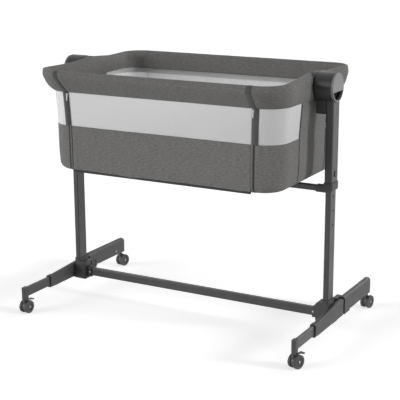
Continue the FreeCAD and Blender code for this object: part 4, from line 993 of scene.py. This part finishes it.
# ---------------------------------------------------------- round the hubs
# The rim's cloth is cut out round each hub plate and the edge is bound with a thin
# piping.  A facing behind it closes the hole.
def end_surface_x(y, z):
    """How far out the basket's end is at a place beside the hub.

    x = L - R + S cos(lean) - sqrt((S - R)^2 - y^2), with the ring's sizes at that height, before the
    end is lifted.
    """
    bell = 0.007 * (0.5 + 0.5 * np.cos(math.pi * np.abs(y) / 0.12))
    flat_z = np.where(z > 0.70, (z + 0.70 * bell / 0.048) / (1 + bell / 0.048), z)
    outside = rim_rows[: int(np.argmax(rim_rows[:, 4])) + 1]
    ring = [
        np.where(flat_z < band_low, wall, np.interp(flat_z, outside[:, 4], outside[:, n]))
        for n, wall in enumerate(wall_ring(flat_z, 0.0))
    ]
    side, bend, end, span, lean, straight = quarter_parts(ring)
    return side + span * np.cos(lean) - np.sqrt((span - ring[2]) ** 2 - y ** 2)


def tube_along(name, route, radius):
    """A round tube of 12 sides along a route of points, its cross-sections square to the route."""
    ahead = np.gradient(route, axis=0)
    ahead /= np.linalg.norm(ahead, axis=1, keepdims=True)
    first = np.cross(ahead, (1.0, 0.0, 0.0))
    first /= np.linalg.norm(first, axis=1, keepdims=True)
    second = np.cross(ahead, first)
    turn = np.linspace(0, 2 * math.pi, 12, endpoint=False)[:, None, None]
    return closed_strip(name, route + radius * (np.cos(turn) * first + np.sin(turn) * second))


turn = np.radians(np.linspace(137, 403, 120))
cut_y, cut_z = (hub_cut_radius + 0.0008) * np.cos(turn), hub_axis_z + (hub_cut_radius + 0.0008) * np.sin(turn)
cut_route = np.stack([end_surface_x(cut_y, cut_z) + 0.0004, cut_y, cut_z], -1)
facing_turn = np.radians(np.linspace(150, 390, 90))
facing_reach = np.array([0.036, 0.040, 0.0435, 0.047, 0.047, 0.0435, 0.040, 0.036])[:, None]
facing_x = np.array([0.3675] * 4 + [0.3660] * 4)[:, None]
for side, turned in mirrored:
    piece = tube_along(f"hub_piping_{side}", cut_route * (turned, 1, 1), 0.0016)
    dress(piece, binding_cloth, "basket", "rim_fabric")
    points = np.stack([
        turned * (facing_x + 0 * facing_turn), facing_reach * np.cos(facing_turn),
        hub_axis_z + facing_reach * np.sin(facing_turn),
    ], -1)
    piece = closed_strip(f"hub_facing_{side}", points)
    dress(piece, tape_and_shade_cloth, "basket", "rim_fabric")

# Inside the basket a patch of the wall's cloth is sewn over the hub plate, from the
# rim's lower edge down to the end panel.
patch_reach, patch_top = 0.0465, 0.6995
patch_y = np.linspace(-0.0415, 0.0415, 61)
patch_low = hub_axis_z - np.sqrt(patch_reach ** 2 - patch_y ** 2)
patch_z = patch_low + (patch_top - patch_low) * np.linspace(0, 1, 16)[:, None]
past_plate = np.clip((np.hypot(patch_y, patch_z - hub_axis_z) - 0.043) / 0.0035, 0, 1)
patch_x = 0.3652 + 0.0102 * past_plate ** 2
patch_rows = np.stack([patch_x, patch_y + 0 * patch_x, patch_z], -1)
patch_points = np.concatenate([patch_rows, patch_rows[::-1] + (0.0008, 0, 0)])
for side, turned in mirrored:
    piece = closed_strip(f"hub_patch_{side}", patch_points * (turned, 1, 1))
    dress(piece, wall_cloth, "basket", "outer_fabric")

# ----------------------------------------------------------------- the base
# A flat cloth bottom over a board, its edge sewn inside the rolled walls.
def even_ring(half_length, half_depth, corner, count):
    """x and y at evenly spread places right round a ring that has straight sides."""
    ring = [np.array([[size]]) for size in (half_length, half_depth, corner, 0.0)]
    quarter = sum(part[0, 0] for part in quarter_parts(ring)[:3])
    x, y = round_ring(ring, 4 * quarter * np.linspace(0, 1, count, endpoint=False)[None, :])
    return x[0], y[0]


base_in = 0.0265
base_x, base_y = even_ring(*(lower_ring[:3] - base_in), 360)
base_scale = np.array([0.0, 0.2, 0.4, 0.6, 0.8, 0.97, 1.0, 1.0, 0.97, 0.8, 0.6, 0.4, 0.2, 0.0])[:, None]
base_height = np.array([0.4522] * 6 + [0.4528, 0.4542] + [0.4547] * 6)[:, None]
# Between the zips it reaches on to the front edge, where the panel hangs.
front_reach = np.where((base_y < -0.15) & (np.abs(base_x) < 0.289), -0.0215, 0.0)
points = np.stack([base_x * base_scale, (base_y + front_reach) * base_scale, base_height + 0 * base_x], -1)
piece = closed_dish("base_bottom", points)
dress(piece, wall_cloth, "basket", "outer_fabric", "base_fabric")
z, inward = wall_outline(basket_low + 0.001, basket_low + 0.026, 0.0022, steps=12)
piece = panel_strip("base_front_edge", z, inward + 0.0044, 60, 0.0, 11)
dress(piece, wall_cloth, "basket", "outer_fabric")

# -------------------------------------------------------------- the mattress
# A thin foam mattress in a pale knitted cover, quilted in diamonds and rounded at
# its edges.
mattress_cloth = cloth_finish("mattress_cloth", grey(0.5, 0.01), grey(0.7, 0.01), yarn=0.0008)
mattress_low, mattress_high, mattress_round = 0.47145, 0.51145, 0.012
mattress_ring = np.array((0.355, 0.206, 0.052))
profile_turn = np.linspace(-math.pi / 2, math.pi / 2, 15)
middle_z = (mattress_low + mattress_high) / 2
upright = (mattress_high - mattress_low) / 2 - mattress_round
side_in = mattress_round * (1 - np.cos(profile_turn))
side_z = middle_z + np.sign(np.sin(profile_turn)) * upright + mattress_round * np.sin(profile_turn)
edge_rows = np.array([
    np.stack([*even_ring(*(mattress_ring - inward), 420), np.full(420, height)], -1)
    for inward, height in zip(side_in, side_z)
])
scales = np.linspace(0, 1, 60, endpoint=False)[:, None, None]
under = edge_rows[0] * scales + np.array([0, 0, 1]) * (1 - scales) * mattress_low
above = edge_rows[-1] * scales[::-1] + np.array([0, 0, 1]) * (1 - scales[::-1]) * mattress_high
points = np.concatenate([under, edge_rows, above])
x, y, z = points[..., 0], points[..., 1], points[..., 2]
quilt_pitch = 0.075
from_lines = [np.abs((across / quilt_pitch + 0.5) % 1 - 0.5) for across in (x + y, x - y)]
diamond = np.minimum(*from_lines) * quilt_pitch
puff = 0.004 * (1 - np.exp(-(diamond / 0.012) ** 1.2)) - 0.0035
points[..., 2] = np.where(z > middle_z + 0.008, z + puff * np.clip((z - middle_z) / 0.02, 0, 1), z)
piece = closed_dish("mattress_pad", points)
dress(piece, mattress_cloth, "basket", "mattress_cover", "mattress")
board_material = hard_finish("base_board", (0.34, 0.23, 0.13), 0.6, 0.001, 0.00005, dust=0.0)
finish_nodes(board_material, "base_board")
finish_nodes(zinc_steel, *[f"zip_slider_{side}" for side in sides])
